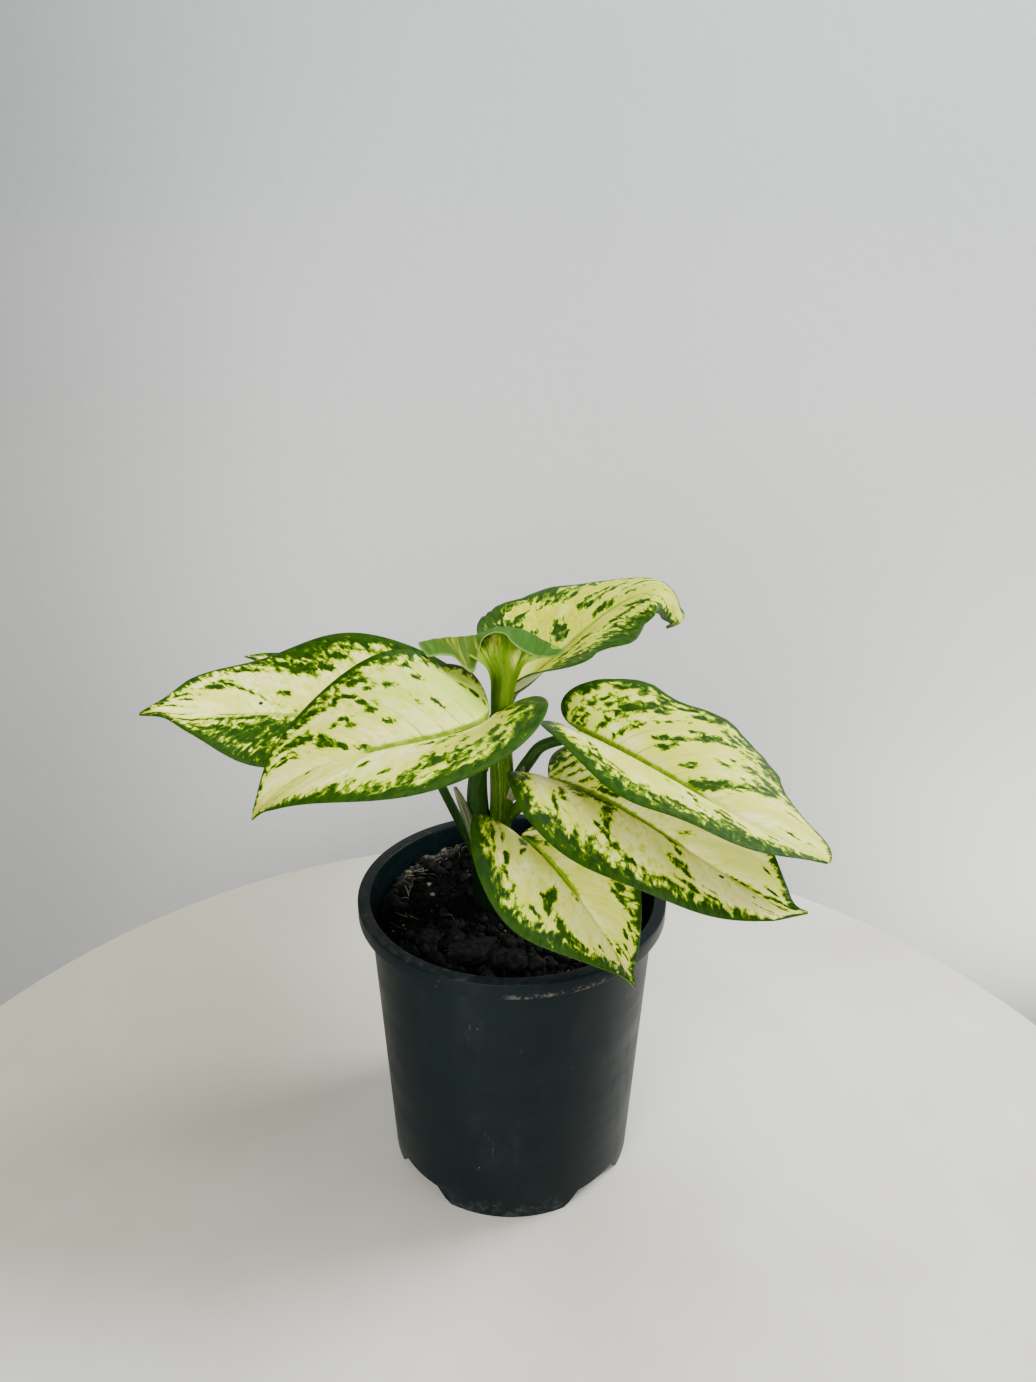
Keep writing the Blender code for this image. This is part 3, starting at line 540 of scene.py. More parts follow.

# Markings, as text tables.  Along is a share of the midrib; across is a share of the half
# blade, minus on the left half.
# speckle, wash, veins, line: fine mottle, yellow wash, side veins, midrib width by half.
# edge: how far in the green margin reaches (along, share), left half then right half.
# rib: how green the midrib is (along, strength).
# strokes: along, across and length on the side veins in hundredths, thickness in
# thousandths, strength in tenths.
# spots: dark blemishes (along, across, radius in mm).
# tint_and_shading: (along, across, spread along, spread across, strength): pale green, partly the
# leaf's own tint and partly a painted glow of light shining through it; minus for olive, partly the
# leaf's own and partly painted shade.
MARKS = {
    "left": dict(
        seed=3, speckle=0.085, wash=0.3, veins=1.0, line=(1, 1.25),
        edge=("""
        0 .8, .05 .62, .12 .52, .2 .36, .3 .2, .4 .24, .5 .2, .6 .17, .65 .26, .7 .22, .8 .2,
        .9 .18, 1 .3""",
              """
        0 .3, .04 .16, .1 .1, .2 .08, .3 .08, .5 .09, .6 .1, .68 .16, .8 .14, .87 .2, .95 .5,
        1 .7"""),
        rib="0 1, .2 1, .35 .9, .5 .65, .57 0, 1 0",
        strokes="""
        22 -53 10 14 6, 30 -62 14 14 6, 33.5 -62 12 10 5, 37 -58 11 22 7, 36 -45 10 14 6,
        41 -58 20 12 6, 28 -40 20 8 4, 25 -15 10 10 4, 30 -20 8 10 5, 33 -17 6 20 4,
        50 -58 6 8 5, 54 -35 7 8 5, 60 -52 6 8 5, 72 -10 10 10 6, 48 -5 4 30 4, 63 -70 10 20 6,
        78 -15 10 8 3, 85 -50 20 10 3, 92 -40 25 12 3.5, 53 7 6 12 6, 60 15 7 13 7,
        64 22 8 15 7, 66 32 10 13 7, 70 45 16 16 7, 73 55 16 16 7, 76 65 16 20 7, 80 45 18 12 6,
        82 58 18 12 6, 44 28 5 12 6, 49 43 6 11 6, 52 55 5 11 5, 56 35 5 9 6, 58.5 45 5 15 7,
        61 42 4 12 6, 35 45 7 7 5, 28 42 5 7 5, 24 33 6 7 4, 44 65 5 13 4, 50 67 5 10 5,
        34 70 4 12 5, 38 82 5 20 5, 45 90 5 30 6, 53 80 6 20 6, 57 70 8 12 6, 63 72 8 17 7,
        67 80 8 20 7, 7 55 15 12 5, 72 78 8 20 6""",
        tint_and_shading="""
        .08 .45 .14 .35 1, .25 .75 .18 .25 .55, .32 .4 .22 .4 .3, .16 -.5 .28 .45 -.9,
        .97 0 .05 .9 -1, .12 -.35 .12 .12 -.4, .9 -.6 .1 .3 -.6"""),
    "far_left": dict(
        seed=11, speckle=0.08,
        edge=("0 .3, .3 .2, .5 .4, .6 .35, .7 .25, .8 .3, .88 .25, .93 .5, 1 1",
              "0 .3, .3 .12, .45 .2, .52 .35, .6 .22, .66 .1, .8 .08, .88 .22, .94 .5, 1 1"),
        rib="0 .9, .3 .6, .6 .4, .8 .2, .9 0, 1 0",
        strokes="""
        60 -42 42 70 7.4, 70 -52 35 70 6.8, 52 -45 40 70 6.6, 58 -52 12 50 7, 66 -50 14 50 6.5,
        57 -30 10 40 6.5, 63 -12 10 30 8, 70 -20 12 20 7, 72 -60 10 30 5, 79 -60 20 25 7.5,
        81 -35 12 15 6, 76 -25 10 20 6, 87 -50 25 12 5.5, 90 -30 20 12 5, 71 -6 5 20 6,
        50 -75 20 30 5, 44 -50 20 20 5, 35 -30 15 12 5, 55 28 5 14 4.5, 68 40 20 6 5,
        73 55 20 6 5, 79 58 9 22 8, 77 66 5 20 6, 87 38 8 10 6, 52 60 12 30 7, 47 62 12 20 7,
        50 78 14 30 7, 57 72 14 18 7, 43 72 10 20 6, 65 75 9 10 6, 70 82 10 14 6, 60 90 10 20 6,
        90 60 20 12 6, 93 30 20 12 5, 56 12 6 8 4, 85 14 4 10 4, 30 40 12 12 5, 25 65 10 14 5,
        20 30 10 10 4, 36 25 10 10 5""",
        spots=".622 .15 1.1",
        tint_and_shading=".1 0 .15 .5 .5, .99 0 .03 1 -.8"),
    "back_left": dict(
        seed=23, speckle=0.12,
        edge=("0 .3, .5 .2, .8 .25, 1 1",
              "0 .3, .5 .22, .8 .35, 1 1"),
        rib="0 .8, .6 .4, 1 0",
        strokes="""
        30 40 20 20 6, 50 30 20 20 6, 70 50 20 20 6, 40 -40 20 20 6, 60 -50 20 20 6,
        80 -30 20 20 6, 20 -50 20 20 5, 85 20 20 20 6"""),
    "right": dict(
        seed=31, speckle=0.09, wash=0.46, veins=1.0, line=(1.25, 1),
        edge=("""
        0 .3, .1 .16, .2 .07, .3 .1, .45 .07, .5 .12, .6 .2, .68 .14, .8 .08, .95 .25, 1 .7""",
              """
        0 .4, .1 .28, .2 .18, .3 .17, .45 .24, .6 .26, .7 .28, .8 .34, .86 .45, .95 .6, 1 .9"""),
        rib="0 1, .15 1, .5 .95, .57 .4, .63 0, 1 0",
        strokes="""
        5 -45 6 20 4.5, 10 -45 50 12 4.2, 5 -50 50 14 4.2, 16 -35 30 12 4.2, 22 -30 30 10 4,
        8 -65 14 10 5, 14 -66 12 11 6, 15 -55 10 10 5, 18 -46 10 10 6, 19 -53 5 15 5,
        25 -63 8 20 7, 27.5 -69 7 24 7.5, 30 -76 8 12 6, 25 -44 3 9 8, 34 -62 9 10 6,
        33 -36 9 12 5, 36.5 -43 10 14 6.5, 35 -27 6 18 5.5, 38.5 -35 5 10 6, 41 -60 5 11 6,
        43 -53 14 9 6, 47 -66 12 12 6, 44 -20 4 14 6.5, 46.5 -26 4 10 6, 53 -45 4 11 6,
        55 -58 4 10 5, 60 -62 8 14 6, 51.5 -9 6 22 9, 55 -17 7 22 9, 58.5 -26 8 18 8,
        63 -36 8 12 7, 66 -46 8 11 7, 67 -56 12 18 7, 68 -70 10 20 7, 73 -80 8 20 6,
        50 -80 5 30 6, 40 -82 4 30 5, 33 -85 5 20 6, 22 -88 5 30 6, 81 -62 9 12 5,
        86 -20 3 30 5.5, 92 -30 5 12 4, 4 -20 12 10 4, 8 -30 14 8 4, 57 30 12 10 6, 46 22 6 9 5,
        67 25 7 13 7, 69 40 9 18 8, 74 40 8 12 6, 38 67 2 20 6, 52 75 5 30 6, 58 68 6 22 8,
        76 60 10 30 7, 80 70 16 40 8, 33 76 4 30 5, 64 52 4 10 5, 25 60 14 6 6, 30 66 14 6 6,
        85 30 12 20 4""",
        tint_and_shading=".05 -.5 .08 .4 .45, .05 .3 .12 .2 .6, .95 0 .06 .8 .3"),
    "right_low": dict(
        seed=43, speckle=0.07, wash=0.1, line=(0.9, 0.9),
        edge=("0 .6, .06 .35, .12 .14, .3 .12, .5 .12, .8 .12, .88 .2, .94 .5, 1 1",
              """
        0 .4, .1 .3, .17 .22, .22 .12, .3 .19, .4 .25, .5 .24, .6 .18, .65 .22, .75 .2, .8 .26,
        .88 .26, .93 .12, .97 .35, 1 .9"""),
        rib="0 1, .35 1, .42 .7, .58 .55, .62 0, 1 0",
        strokes="""
        10 -40 20 14 6, 7 -30 20 12 5.5, 14 -30 15 10 6, 16 -15 10 10 5, 23 -20 6 20 5,
        26 -10 5 30 7, 4 -50 30 20 6, 57 -17 8 10 6, 85 -60 5 12 6, 89 -30 5 12 7, 86 -5 5 22 7,
        80 -2 3 30 5, 93 -20 20 14 7, 95 10 20 16 8, 40 -50 12 16 6, 30 -60 10 12 5,
        50 -70 12 16 6, 70 -60 12 14 6, 62 -40 10 14 5, 20 20 15 30 7, 22 10 10 50 8,
        30 10 8 22 8, 34 19 8 11 7.5, 36 30 10 9 7, 39 42 10 9 7, 43 55 10 9 7, 23 45 8 12 7.5,
        26 62 12 10 7, 48 62 6 20 6, 52 68 6 18 6, 57 72 6 14 6, 55 5 5 15 6.5, 59 15 7 10 7,
        62 33 6 20 8, 64 40 6 17 8, 67 45 5 12 7, 74 53 4 11 7, 68 60 5 16 7, 71 65 4 10 7,
        76 65 5 10 7, 66 72 6 20 7, 38 50 3 10 6, 90 50 10 8 5, 92 65 10 10 5, 31 63 2 10 5""",
        spots=".742 .13 1.3, .855 .2 .9",
        tint_and_shading=".06 .2 .08 .4 -.6, .08 -.4 .1 .4 .6"),
    "front": dict(
        seed=59, speckle=0.085, wash=0.28, line=(0.9, 0.9),
        edge=("0 .5, .2 .3, .5 .2, .6 .22, .7 .17, .76 .3, .8 .2, .85 .3, .89 .5, .93 .9, 1 1",
              """
        0 .5, .1 .32, .15 .24, .25 .2, .35 .19, .45 .2, .55 .22, .65 .28, .75 .24, .8 .38,
        .87 .6, .95 1, 1 1"""),
        rib="0 1, .4 1, .5 .5, .56 0, 1 0",
        strokes="""
        58 -60 8 20 8, 60 -52 5 20 7, 65 -60 10 16 7, 67 -90 10 20 6, 73 -75 12 15 7,
        75 -60 10 12 7, 78 -47 6 14 7.5, 82 -70 10 10 5, 86 -45 14 11 7, 87 -30 10 12 7,
        80 -15 8 12 6.5, 83 -10 5 15 6, 77 -3 4 20 5, 15 -20 5 40 5, 10 -15 10 50 6,
        35 -60 10 20 6, 45 -75 12 20 6, 25 -50 10 20 5, 13 20 12 20 7, 20 28 10 8 6,
        16 55 5 14 8, 25 58 7 15 8, 28 64 5 12 7, 30 66 4 20 6, 46 30 10 11 8, 48 40 9 12 8,
        50 48 6 15 8, 44 42 3 11 6, 50 64 4 20 7, 51 6 3 16 6, 60 50 8 20 8, 63 57 8 28 8.5,
        67 65 8 22 8, 72 60 8 20 8, 74 68 10 20 8, 78 36 6 9 6, 80 50 5 20 5, 38 69 6 15 7,
        90 20 30 20 7""",
        tint_and_shading=".1 .12 .14 .25 -.8, .32 .1 .16 .1 -.35, .22 -.1 .16 .4 -.5"),
    "top_right": dict(
        seed=71, speckle=0.14, wash=1.0, line=(1, 1),
        edge=("""
        0 .6, .11 .5, .183 .36, .247 .28, .293 .18, .366 .09, .421 .22, .476 .28, .531 .2,
        .595 .2, .686 .12, .778 .15, .84 .35, .9 .55, .945 .75, .975 .5, 1 .6""",
              """
        0 .3, .137 .3, .2 .5, .26 .5, .302 .34, .366 .16, .44 .34, .5 .46, .57 .44, .64 .3,
        .714 .22, .824 .3, .9 .6, .95 .8, 1 .8"""),
        rib="0 .6, .275 .6, .64 .6, .732 .3, .824 0, 1 0",
        strokes="""
        24.7 -65 10 22 6, 27.5 -58 8 20 6, 31.1 -68 5 20 7, 29.3 -40 5 16 6, 34.8 -14 6 20 7.5,
        36.6 -22 8 26 8.5, 38.4 -33 5 12 7, 43 -68 6 20 5, 47.6 -68 10 20 6, 50.3 -60 10 15 6,
        52.2 -40 10 12 7, 54.9 -34 8 15 6, 54.9 -12 8 20 8, 58.6 -12 10 15 7, 60.4 -50 10 10 5,
        62.2 -45 15 6 5, 67.7 -20 8 10 6, 77.8 -40 30 7 5, 73.2 -50 30 7 5, 82.4 -20 30 8 5,
        59.5 42 6 70 7, 66.8 35 14 30 7, 38.4 30 7 30 5.5, 27.5 30 10 30 5, 32 50 5 50 6,
        43 75 5 50 5, 71.4 50 20 8 5, 76.9 30 30 8 5, 82.4 50 30 8 5, 50.3 60 10 10 5""",
        tint_and_shading=".275 .2 .3 .2 -.3, .778 0 .12 .9 .35, .458 .7 .25 .25 .3"),
}

# Scalloped margins: which half (-1 left, 1 right), then how far out (place along, mm).
SCALLOPS = {
    "top_right": (
        (1, """
        .12 0, .15 .6, .2 2.2, .25 2.8, .3 1, .33 -1.6, .35 -2.4, .4 -1.4, .45 1.2, .5 2.3,
        .55 1.8, .6 0, .65 -2.2, .7 -1, .8 0"""),
        (-1, """
        .12 0, .18 1.1, .235 1.8, .25 .9, .27 1.6, .285 .9, .31 1.4, .35 .4, .4 -1.9, .45 -.9,
        .5 .7, .56 -.5, .6 0, .68 .6, .73 0, .8 0, .87 -1.6, .91 -1.2, .955 1.6, .985 0"""),),
    "right_low": (
        (1, "0 -2, .05 -4.2, .1 -4.6, .15 -3.5, .2 -1.7, .25 0"),),
    "right": (
        (-1, """
        .08 0, .15 -.5, .2 -.2, .25 1.1, .28 .9, .31 -1.2, .335 -2.1, .365 -1.8, .4 -.5, .45 .6,
        .48 .1, .5 -1, .55 -1.5, .58 -.6, .6 -.8, .63 .5, .648 .8, .66 -.5, .695 -1.4, .75 -.9,
        .85 0"""),),
}
# Last small curls of the tips: where they start, and the shift of the very tip.
TIPS = {"right_low": (0.94, (3.4, 0.4, 2.4)), "far_left": (0.93, (-3.4, 0, -2.4)),
        "front": (0.95, (0.4, 0, -0.8))}
# How much the last bit of a blade is drawn in towards its midrib, and where that starts.
PINCH = {"right_low": (0.5, 0.93), "far_left": (0.3, 0.86), "left": (0.2, 0.86),
         "front": (0.25, 0.86)}
# Blades whose last bend is a corner: place along, spread, and the shift there.
CORNERS = {"top_right": (0.952, 0.030, (3.0, 0, -0.3))}

BLADE_ROWS, BLADE_COLUMNS, BLADE_HALF = 170, 97, 0.32  # points, and half the thickness
SIDE_VEINS = 12.5  # side veins along a blade
STROKE_UNITS = (100, 100, 100, 1000, 10)
STROKE_WIDEN, STROKE_LENGTHEN, STROKE_LIFT = 1.75, 0.9, 0.18


def bend(values, s):
    """Smooth value along a leaf from its three stations at foot, middle and tip."""
    foot, middle, tip = values
    return foot * (1 - s) * (1 - 2 * s) + middle * 4 * s * (1 - s) + tip * s * (2 * s - 1)


def mean(samples):
    """Average along each row of evenly spaced samples, ends counting half."""
    return (samples[:, 1:] + samples[:, :-1]).mean(axis=1) / 2


def leaf_points(leaf, rows, columns):
    """Grid of points on a blade, and how far each is from the midrib.  Rows run foot to tip,
    columns left margin to right margin."""
    rows = np.asarray(rows, float)
    s = np.linspace(0, 1, 161)
    heading, pitch = np.radians(bend(leaf["heading"], s)), np.radians(bend(leaf["pitch"], s))
    start, droop = leaf.get("hook", (0.9, 0))
    pitch = pitch + math.radians(droop) * np.clip((s - start) / (1 - start), 0, 1)
    along = np.stack([np.cos(pitch) * np.cos(heading), np.cos(pitch) * np.sin(heading),
                      np.sin(pitch)], -1)
    rib = np.zeros_like(along)
    rib[1:] = np.cumsum((along[1:] + along[:-1]) / 2 * (leaf["length"] / (len(s) - 1)), 0)
    rib += leaf["base"]

    def at(line, where):
        return np.stack([np.interp(where, s, line[:, k]) for k in range(3)], -1)

    foot_full, tip_full = leaf["shape"]
    peak = foot_full / (foot_full + tip_full)
    outline = rows ** foot_full * (1 - rows) ** tip_full
    outline = outline / (peak ** foot_full * (1 - peak) ** tip_full)
    reach = leaf["lobe"] * np.sqrt(rows) * (1 - rows) ** 4
    grid = np.zeros((len(rows), len(columns), 3))
    outs = np.zeros(grid.shape[:2])
    for j, v in enumerate(columns):
        side = int(v >= 0)
        half = leaf["width"][side]
        out = abs(v) * half * outline
        where = rows - abs(v) * reach
        on_rib = np.clip(where, 0, 1)
        t = unit(at(along, on_rib))
        centre = at(rib, on_rib) + t * (np.minimum(where, 0) * leaf["length"])[:, None]
        turn = np.radians(bend(leaf["heading"], on_rib))
        flat_side = np.stack([np.sin(turn), -np.cos(turn), 0 * turn], -1)
        roll = np.radians(bend(leaf["roll"], on_rib))[:, None]
        across = np.cos(roll) * flat_side - np.sin(roll) * np.cross(flat_side, t)
        up = np.cross(across, t)
        rise = leaf["fold"][side] + (leaf["flat"][side] - leaf["fold"][side]) * on_rib
        slope = np.radians(rise)[:, None] - math.radians(leaf["curl"][side]) \
            * np.linspace(0, 1, 9) * (out / half)[:, None]
        run, lift = mean(np.cos(slope)), mean(np.sin(slope))
        ripple, phase = leaf["wave"][0], leaf["wave"][1 + side]
        wave = ripple * np.sin(2 * math.pi * (2 * rows + phase)) * (out / half) ** 2
        grid[:, j] = centre + (2 * side - 1) * (run * out)[:, None] * across
        grid[:, j] += (lift * out + wave)[:, None] * up
        outs[:, j] = out
    return grid, outs


def grid_normals(grid):
    return unit(np.cross(np.gradient(grid, axis=1), np.gradient(grid, axis=0)))


def flipped(faces):
    """The same faces seen from behind, each from the same first point."""
    return np.roll(faces[:, ::-1], 1, axis=1)


def shell(name, top, bottom, attributes):
    """Closed thin body between two point grids.  An attribute is (upper side, lower side)."""
    rows, cols = top.shape[:2]
    n = rows * cols
    index = np.arange(n).reshape(rows, cols)
    over = grid_faces(index[:, :-1], index[:, 1:])
    rim = np.concatenate([index[0, :], index[1:, -1], index[-1, -2::-1], index[-2:0:-1, 0]])
    after = np.roll(rim, -1)
    faces = np.concatenate([over, flipped(over) + n, np.stack([rim, rim + n, after + n, after], 1)])
    points = np.concatenate([top.reshape(-1, 3), bottom.reshape(-1, 3)])
    full = {key: np.concatenate([side.reshape(n, *side.shape[2:]) for side in sides])
            for key, sides in attributes.items()}
    return build_mesh(name, points, faces, full)


def vein_place(t, v):
    """Place along the leaf where the side vein through (t, v) leaves the midrib."""
    return t - 0.26 * np.abs(v) - 0.15 * v * v


def shape_margins(name, grid, out, t, v):
    """The blade with its wavy and scalloped margins, drawn-in end and last curls."""
    away = unit(grid - grid[:, grid.shape[1] // 2][:, None])
    ends = smoothstep(0, 0.1, t) * smoothstep(1, 0.9, t)
    uneven = wavy(t * LEAVES[name]["length"] / 4.5 + 3 * np.sign(v), 0 * v,
                  MARKS[name]["seed"] + 8) * np.abs(v) ** 4
    grid = grid + away * (0.9 * uneven * ends)[..., None]
    for half, scallops in SCALLOPS.get(name, ()):
        push = curve(t, scallops) * (np.sign(v) == half)
        grid = grid + away * (push * np.abs(v) ** 2)[..., None]
    amount, start = PINCH.get(name, (0, 0.86))
    pinch = amount * smoothstep(start, 0.5 + 0.5 * start + 0.04, t)
    grid = grid - away * (pinch * out)[..., None]
    if name in CORNERS:
        at, spread, shift = CORNERS[name]
        grid = grid + bell((t - at) / spread)[..., None] * shift
    if name in TIPS:
        start, shift = TIPS[name]
        grid = grid + (np.clip((t - start) / (1 - start), 0, 1) ** 2)[..., None] * shift
    return grid


def puff_up(grid, out, t, v, vein, phase, size, seed):
    """Upper and lower side of a blade, which puffs up between its sunken side veins and dips
    at the midrib."""
    rim = 1 - np.abs(v)
    puff = np.abs(np.sin(math.pi * phase)) ** 0.6
    ends = smoothstep(0, 0.1, t) * smoothstep(1, 0.92, t)
    fade = smoothstep(0, 0.16, np.abs(v)) * smoothstep(0, 0.18, rim) * np.sin(math.pi * t) ** 0.5
    relief = 0.26 * (puff - 0.55) * fade * (0.8 + 0.3 * wavy(vein / 9, out / 8, seed))
    relief += 0.75 * wavy(t * size / 6, v * 5, seed + 1) * smoothstep(0.35, 0.0, rim) * ends
    relief += 0.5 * wavy(t * size / 16, v * 2.2, seed + 2) * fade
    relief += -0.25 * bell(rim * out.max(axis=1)[:, None] / 1.2)
    groove, keel = bell(out / 1.1) * (1 - t) ** 0.4, bell(out / 1.7) * (1 - t) ** 0.8
    thin = BLADE_HALF * (0.25 + 0.75 * smoothstep(0, 0.06, rim))
    normal = grid_normals(grid)
    return (grid + normal * (relief + thin - 0.75 * groove)[..., None],
            grid + normal * (relief - thin - 1.5 * keel)[..., None])


def paint_green(marks, out, t, v, vein, size):
    """How green each point of a blade leans, and how strong its midrib is."""
    green, rim = np.zeros_like(t), 1 - np.abs(v)
    for sign, edge in zip((-1, 1), marks["edge"]):
        band = curve(t, edge)
        inside = smoothstep(1 - band - 0.22, 1 - band + 0.10, np.abs(v))
        outer = smoothstep(1 - 0.80 * band, 1 - 0.35 * band, np.abs(v))
        hem = smoothstep(0.075, 0.020, rim)
        strength = 0.60 * inside + 0.30 * outer + 0.40 * hem * np.maximum(inside, 0.75)
        green = np.where(np.sign(v) * sign >= 0, np.maximum(green, strength), green)
    for along, across, length, thick, strength in numbers(5, marks["strokes"]) / STROKE_UNITS:
        away = ((vein / size - vein_place(along, across)) / (thick * STROKE_WIDEN)) ** 2 \
            + ((v - across) / (length * STROKE_LENGTHEN)) ** 2
        away = np.where(np.sign(v) == np.sign(across), away, away + 9 * np.abs(v) ** 2)
        green = np.maximum(green, (strength + STROKE_LIFT) * np.exp(-away ** 1.1))
    mottle = 1 + wavy(vein / 6, out / 7, marks["seed"] + 5)
    green += marks["speckle"] * mottle + 0.10 * np.exp(-rim / 0.25)
    green -= 0.10 * smoothstep(0.7, 0.95, t)
    rib = curve(t, marks["rib"])
    green = np.maximum(green, 0.34 * rib * bell(out / 2.4))
    line = np.where(v < 0, *marks.get("line", (1, 1)))
    rib = rib * bell(out / line / (0.85 + 0.95 * (1 - t)))
    return green, np.clip(rib, 0, 1)


def make_leaf(name, mat):
    marks, size = MARKS[name], LEAVES[name]["length"]
    ease = np.linspace(0, 1, BLADE_ROWS)
    rows = 0.003 + 0.994 * (0.75 * ease + 0.25 * (1 - np.cos(math.pi * ease)) / 2)
    w = np.linspace(-1, 1, BLADE_COLUMNS)
    cols = np.sign(w) * np.abs(w) ** 1.15
    grid, out = leaf_points(LEAVES[name], rows, cols)
    t, v = np.meshgrid(rows, cols, indexing="ij")
    vein = vein_place(t, v) * size
    phase = vein / (size / SIDE_VEINS) + 0.15 * np.sign(v)
    top, bottom = puff_up(shape_margins(name, grid, out, t, v), out, t, v, vein, phase, size,
                          marks["seed"])
    green, rib = paint_green(marks, out, t, v, vein, size)
    tint_and_shading, spot = np.zeros_like(t), np.zeros_like(t)
    # Tint with painted light: pale green glow and olive shade laid over the blade.
    for along, across, spread_t, spread_v, strength in numbers(5, marks.get("tint_and_shading", "")):
        tint_and_shading += strength * np.exp(-((t - along) / spread_t) ** 2 - ((v - across) / spread_v) ** 2)
    for along, across, radius in numbers(3, marks.get("spots", "")):
        near = np.hypot((t - along) * size, (np.abs(v) - abs(across)) * 34)
        spot = np.maximum(spot, bell(np.where(np.sign(v) == np.sign(across), near, 99) / radius))
    lane = np.sign(v) * 6 + marks["seed"] * 10 + 0 * t
    place = np.stack([vein, out, lane], -1)
    flat = np.stack([t * size - 0.6 * out, out, lane], -1)
    net = marks.get("veins", 0.3) * smoothstep(0.75, 0.15, np.abs(v)) * smoothstep(0.95, 0.3, t)
    zero, one = np.zeros_like(t), np.ones_like(t)
    mesh = shell("blade_" + name, top, bottom, {
        "leaf_green": (green, green), "leaf_tint_and_shading": (np.clip(tint_and_shading, -1, 1), zero),
        "leaf_map": (place, place), "leaf_flat": (flat, flat), "leaf_vein": (phase, phase),
        "leaf_net": (net, zero), "leaf_rib": (rib, 0.6 * rib), "leaf_under": (zero, one),
        "leaf_spot": (spot, zero), "leaf_wash": (zero + marks.get("wash", 0), zero)})
    new_piece("blade_" + name, mesh, mat, ["leaf_" + name])


# Points on the young leaf: rows run foot to tip, the points of a row left wing to right.
YOUNG_LEAF = """
    -8.5 1.5 206, -8.5 4 206, -7.5 6 206, -6 7.5 206, -4 7.5 206, -2.5 6 206, -1 4 206,
    -1 1.5 206,
    -8.5 1 214, -8.5 4 214, -8 6.5 214, -6 8 213.5, -4 8 213.5, -2 7 214, -.5 4 214, 0 1 214,
    -8.5 0 224, -8.5 3 223.5, -8 6 222.5, -6 8.5 222, -4 10 221, -1 9 221.5, 1.5 5 222.5,
    2 1 223.5,
    -12 3 229, -12 7 228.5, -11.5 10.5 228, -9.5 13 228, -5 16 227, 0 13 228.5, 4 8 229,
    5 2 229.5,
    -23.5 9 233, -21 12 233, -17 16 232.5, -12 19 232.5, -5 23 232, 2 19 232.5, 7.5 12 232.5,
    12.5 4 232,
    -36.2 3.2 237.7, -27.5 8.5 237.5, -19.5 13 236, -13.5 20 235.5, -5 26 236.5, 4 22 236.5,
    12 14 235, 20.5 6 233.5,
    -32.8 -4.6 234.6, -23.5 -1 233.5, -15.5 1 226, -12 13 235.5, -4.5 18 236.5, 1.5 11 233,
    9.5 4 231.5, 18 1 233"""
YOUNG_COLUMNS = 8
YOUNG_TIP = "-4.2 26.8 233.5 1.3, -4.4 27 236.5 1, -4.6 27.2 238.8 .5, -4.8 27.2 240.6 .2"


def weave(points, where):
    """Smooth curve through evenly numbered points (first axis), read at the places given."""
    last = len(points) - 1
    padded = np.concatenate([2 * points[:1] - points[1:2], points, 2 * points[-1:] - points[-2:-1]])
    cell = np.clip(np.floor(where).astype(int), 0, last - 1)
    u = (where - cell).reshape(-1, *([1] * (points.ndim - 1)))
    p0, p1, p2, p3 = (padded[cell + k] for k in range(4))
    return 0.5 * (2 * p1 + (p2 - p0) * u + (2 * p0 - 5 * p1 + 4 * p2 - p3) * u ** 2
                  + (3 * p1 - p0 - 3 * p2 + p3) * u ** 3)


def make_young_leaf(mat):
    net = numbers(3, YOUNG_LEAF).reshape(-1, YOUNG_COLUMNS, 3)
    last, wide = len(net) - 1, YOUNG_COLUMNS - 1
    rows, cols = np.linspace(0, last, 120), np.linspace(0, wide, 110)
    grid = weave(weave(net, rows).transpose(1, 0, 2), cols).transpose(1, 0, 2)
    t, v = np.meshgrid(rows / last, 2 * cols / wide - 1, indexing="ij")
    flute = 0.10 * np.sin(11 * math.pi * v + 3 * t) * smoothstep(0.15, 0.6, t)
    ripple = 0.4 * wavy(t * 22, v * 9, 91) * smoothstep(0.7, 1, np.maximum(np.abs(v), t))
    rim = np.minimum(1 - np.abs(v), (1 - t) * 1.2)
    lift, half = flute + ripple, 0.10 + 0.16 * smoothstep(0, 0.05, rim)
    normal = grid_normals(grid)
    top = grid + normal * (lift + half)[..., None]
    bottom = grid + normal * (lift - half)[..., None]
    place = np.stack([v * 14, t * 45, 0 * t], -1)
    zero, one = np.zeros_like(t), np.ones_like(t)
    edge = 0.5 * smoothstep(0.026, 0.008, rim) * smoothstep(0.4, 0.6, t)
    # Lower part darker, most on the left: partly the leaf's dark green, partly painted shade.
    low = 0.9 * smoothstep(0.60, 0.30, t)
    left_wing = smoothstep(-0.1, -0.3, v) * smoothstep(-1.0, -0.60, v)
    bright = np.maximum(smoothstep(0.42, 0.75, t) * smoothstep(0.55, 0.15, np.abs(v + 0.25)),
                        smoothstep(0.16, 0.06, np.hypot(t - 0.50, 0.5 * (v - 0.62))))
    mesh = shell("young_blade", top, bottom, {
        "leaf_map": (place, place + 30), "leaf_under": (zero, one), "leaf_rib": (edge, edge),
        # On the young leaf this attribute marks only its streaked left wing, with no painted light.
        "leaf_tint_and_shading": (zero, left_wing), "leaf_wash": (bright, zero),
        "leaf_green": (low * (1 - 0.5 * smoothstep(-0.4, 0.3, v)), low * smoothstep(0.5, -0.3, v))})
    new_piece("young_blade", mesh, mat, ["leaf_young"])
    spike = tube("young_tip", numbers(4, YOUNG_TIP), 12, 24,
                 lambda s, a: 0.45 + 0.55 * np.abs(np.cos(a)))
    skin = stalk_material("young_tip_skin", (0.010, 0.040, 0.004), (0.020, 0.065, 0.006),
                          (0.06, 0.14, 0.02))
    new_piece("young_tip", spike, skin)


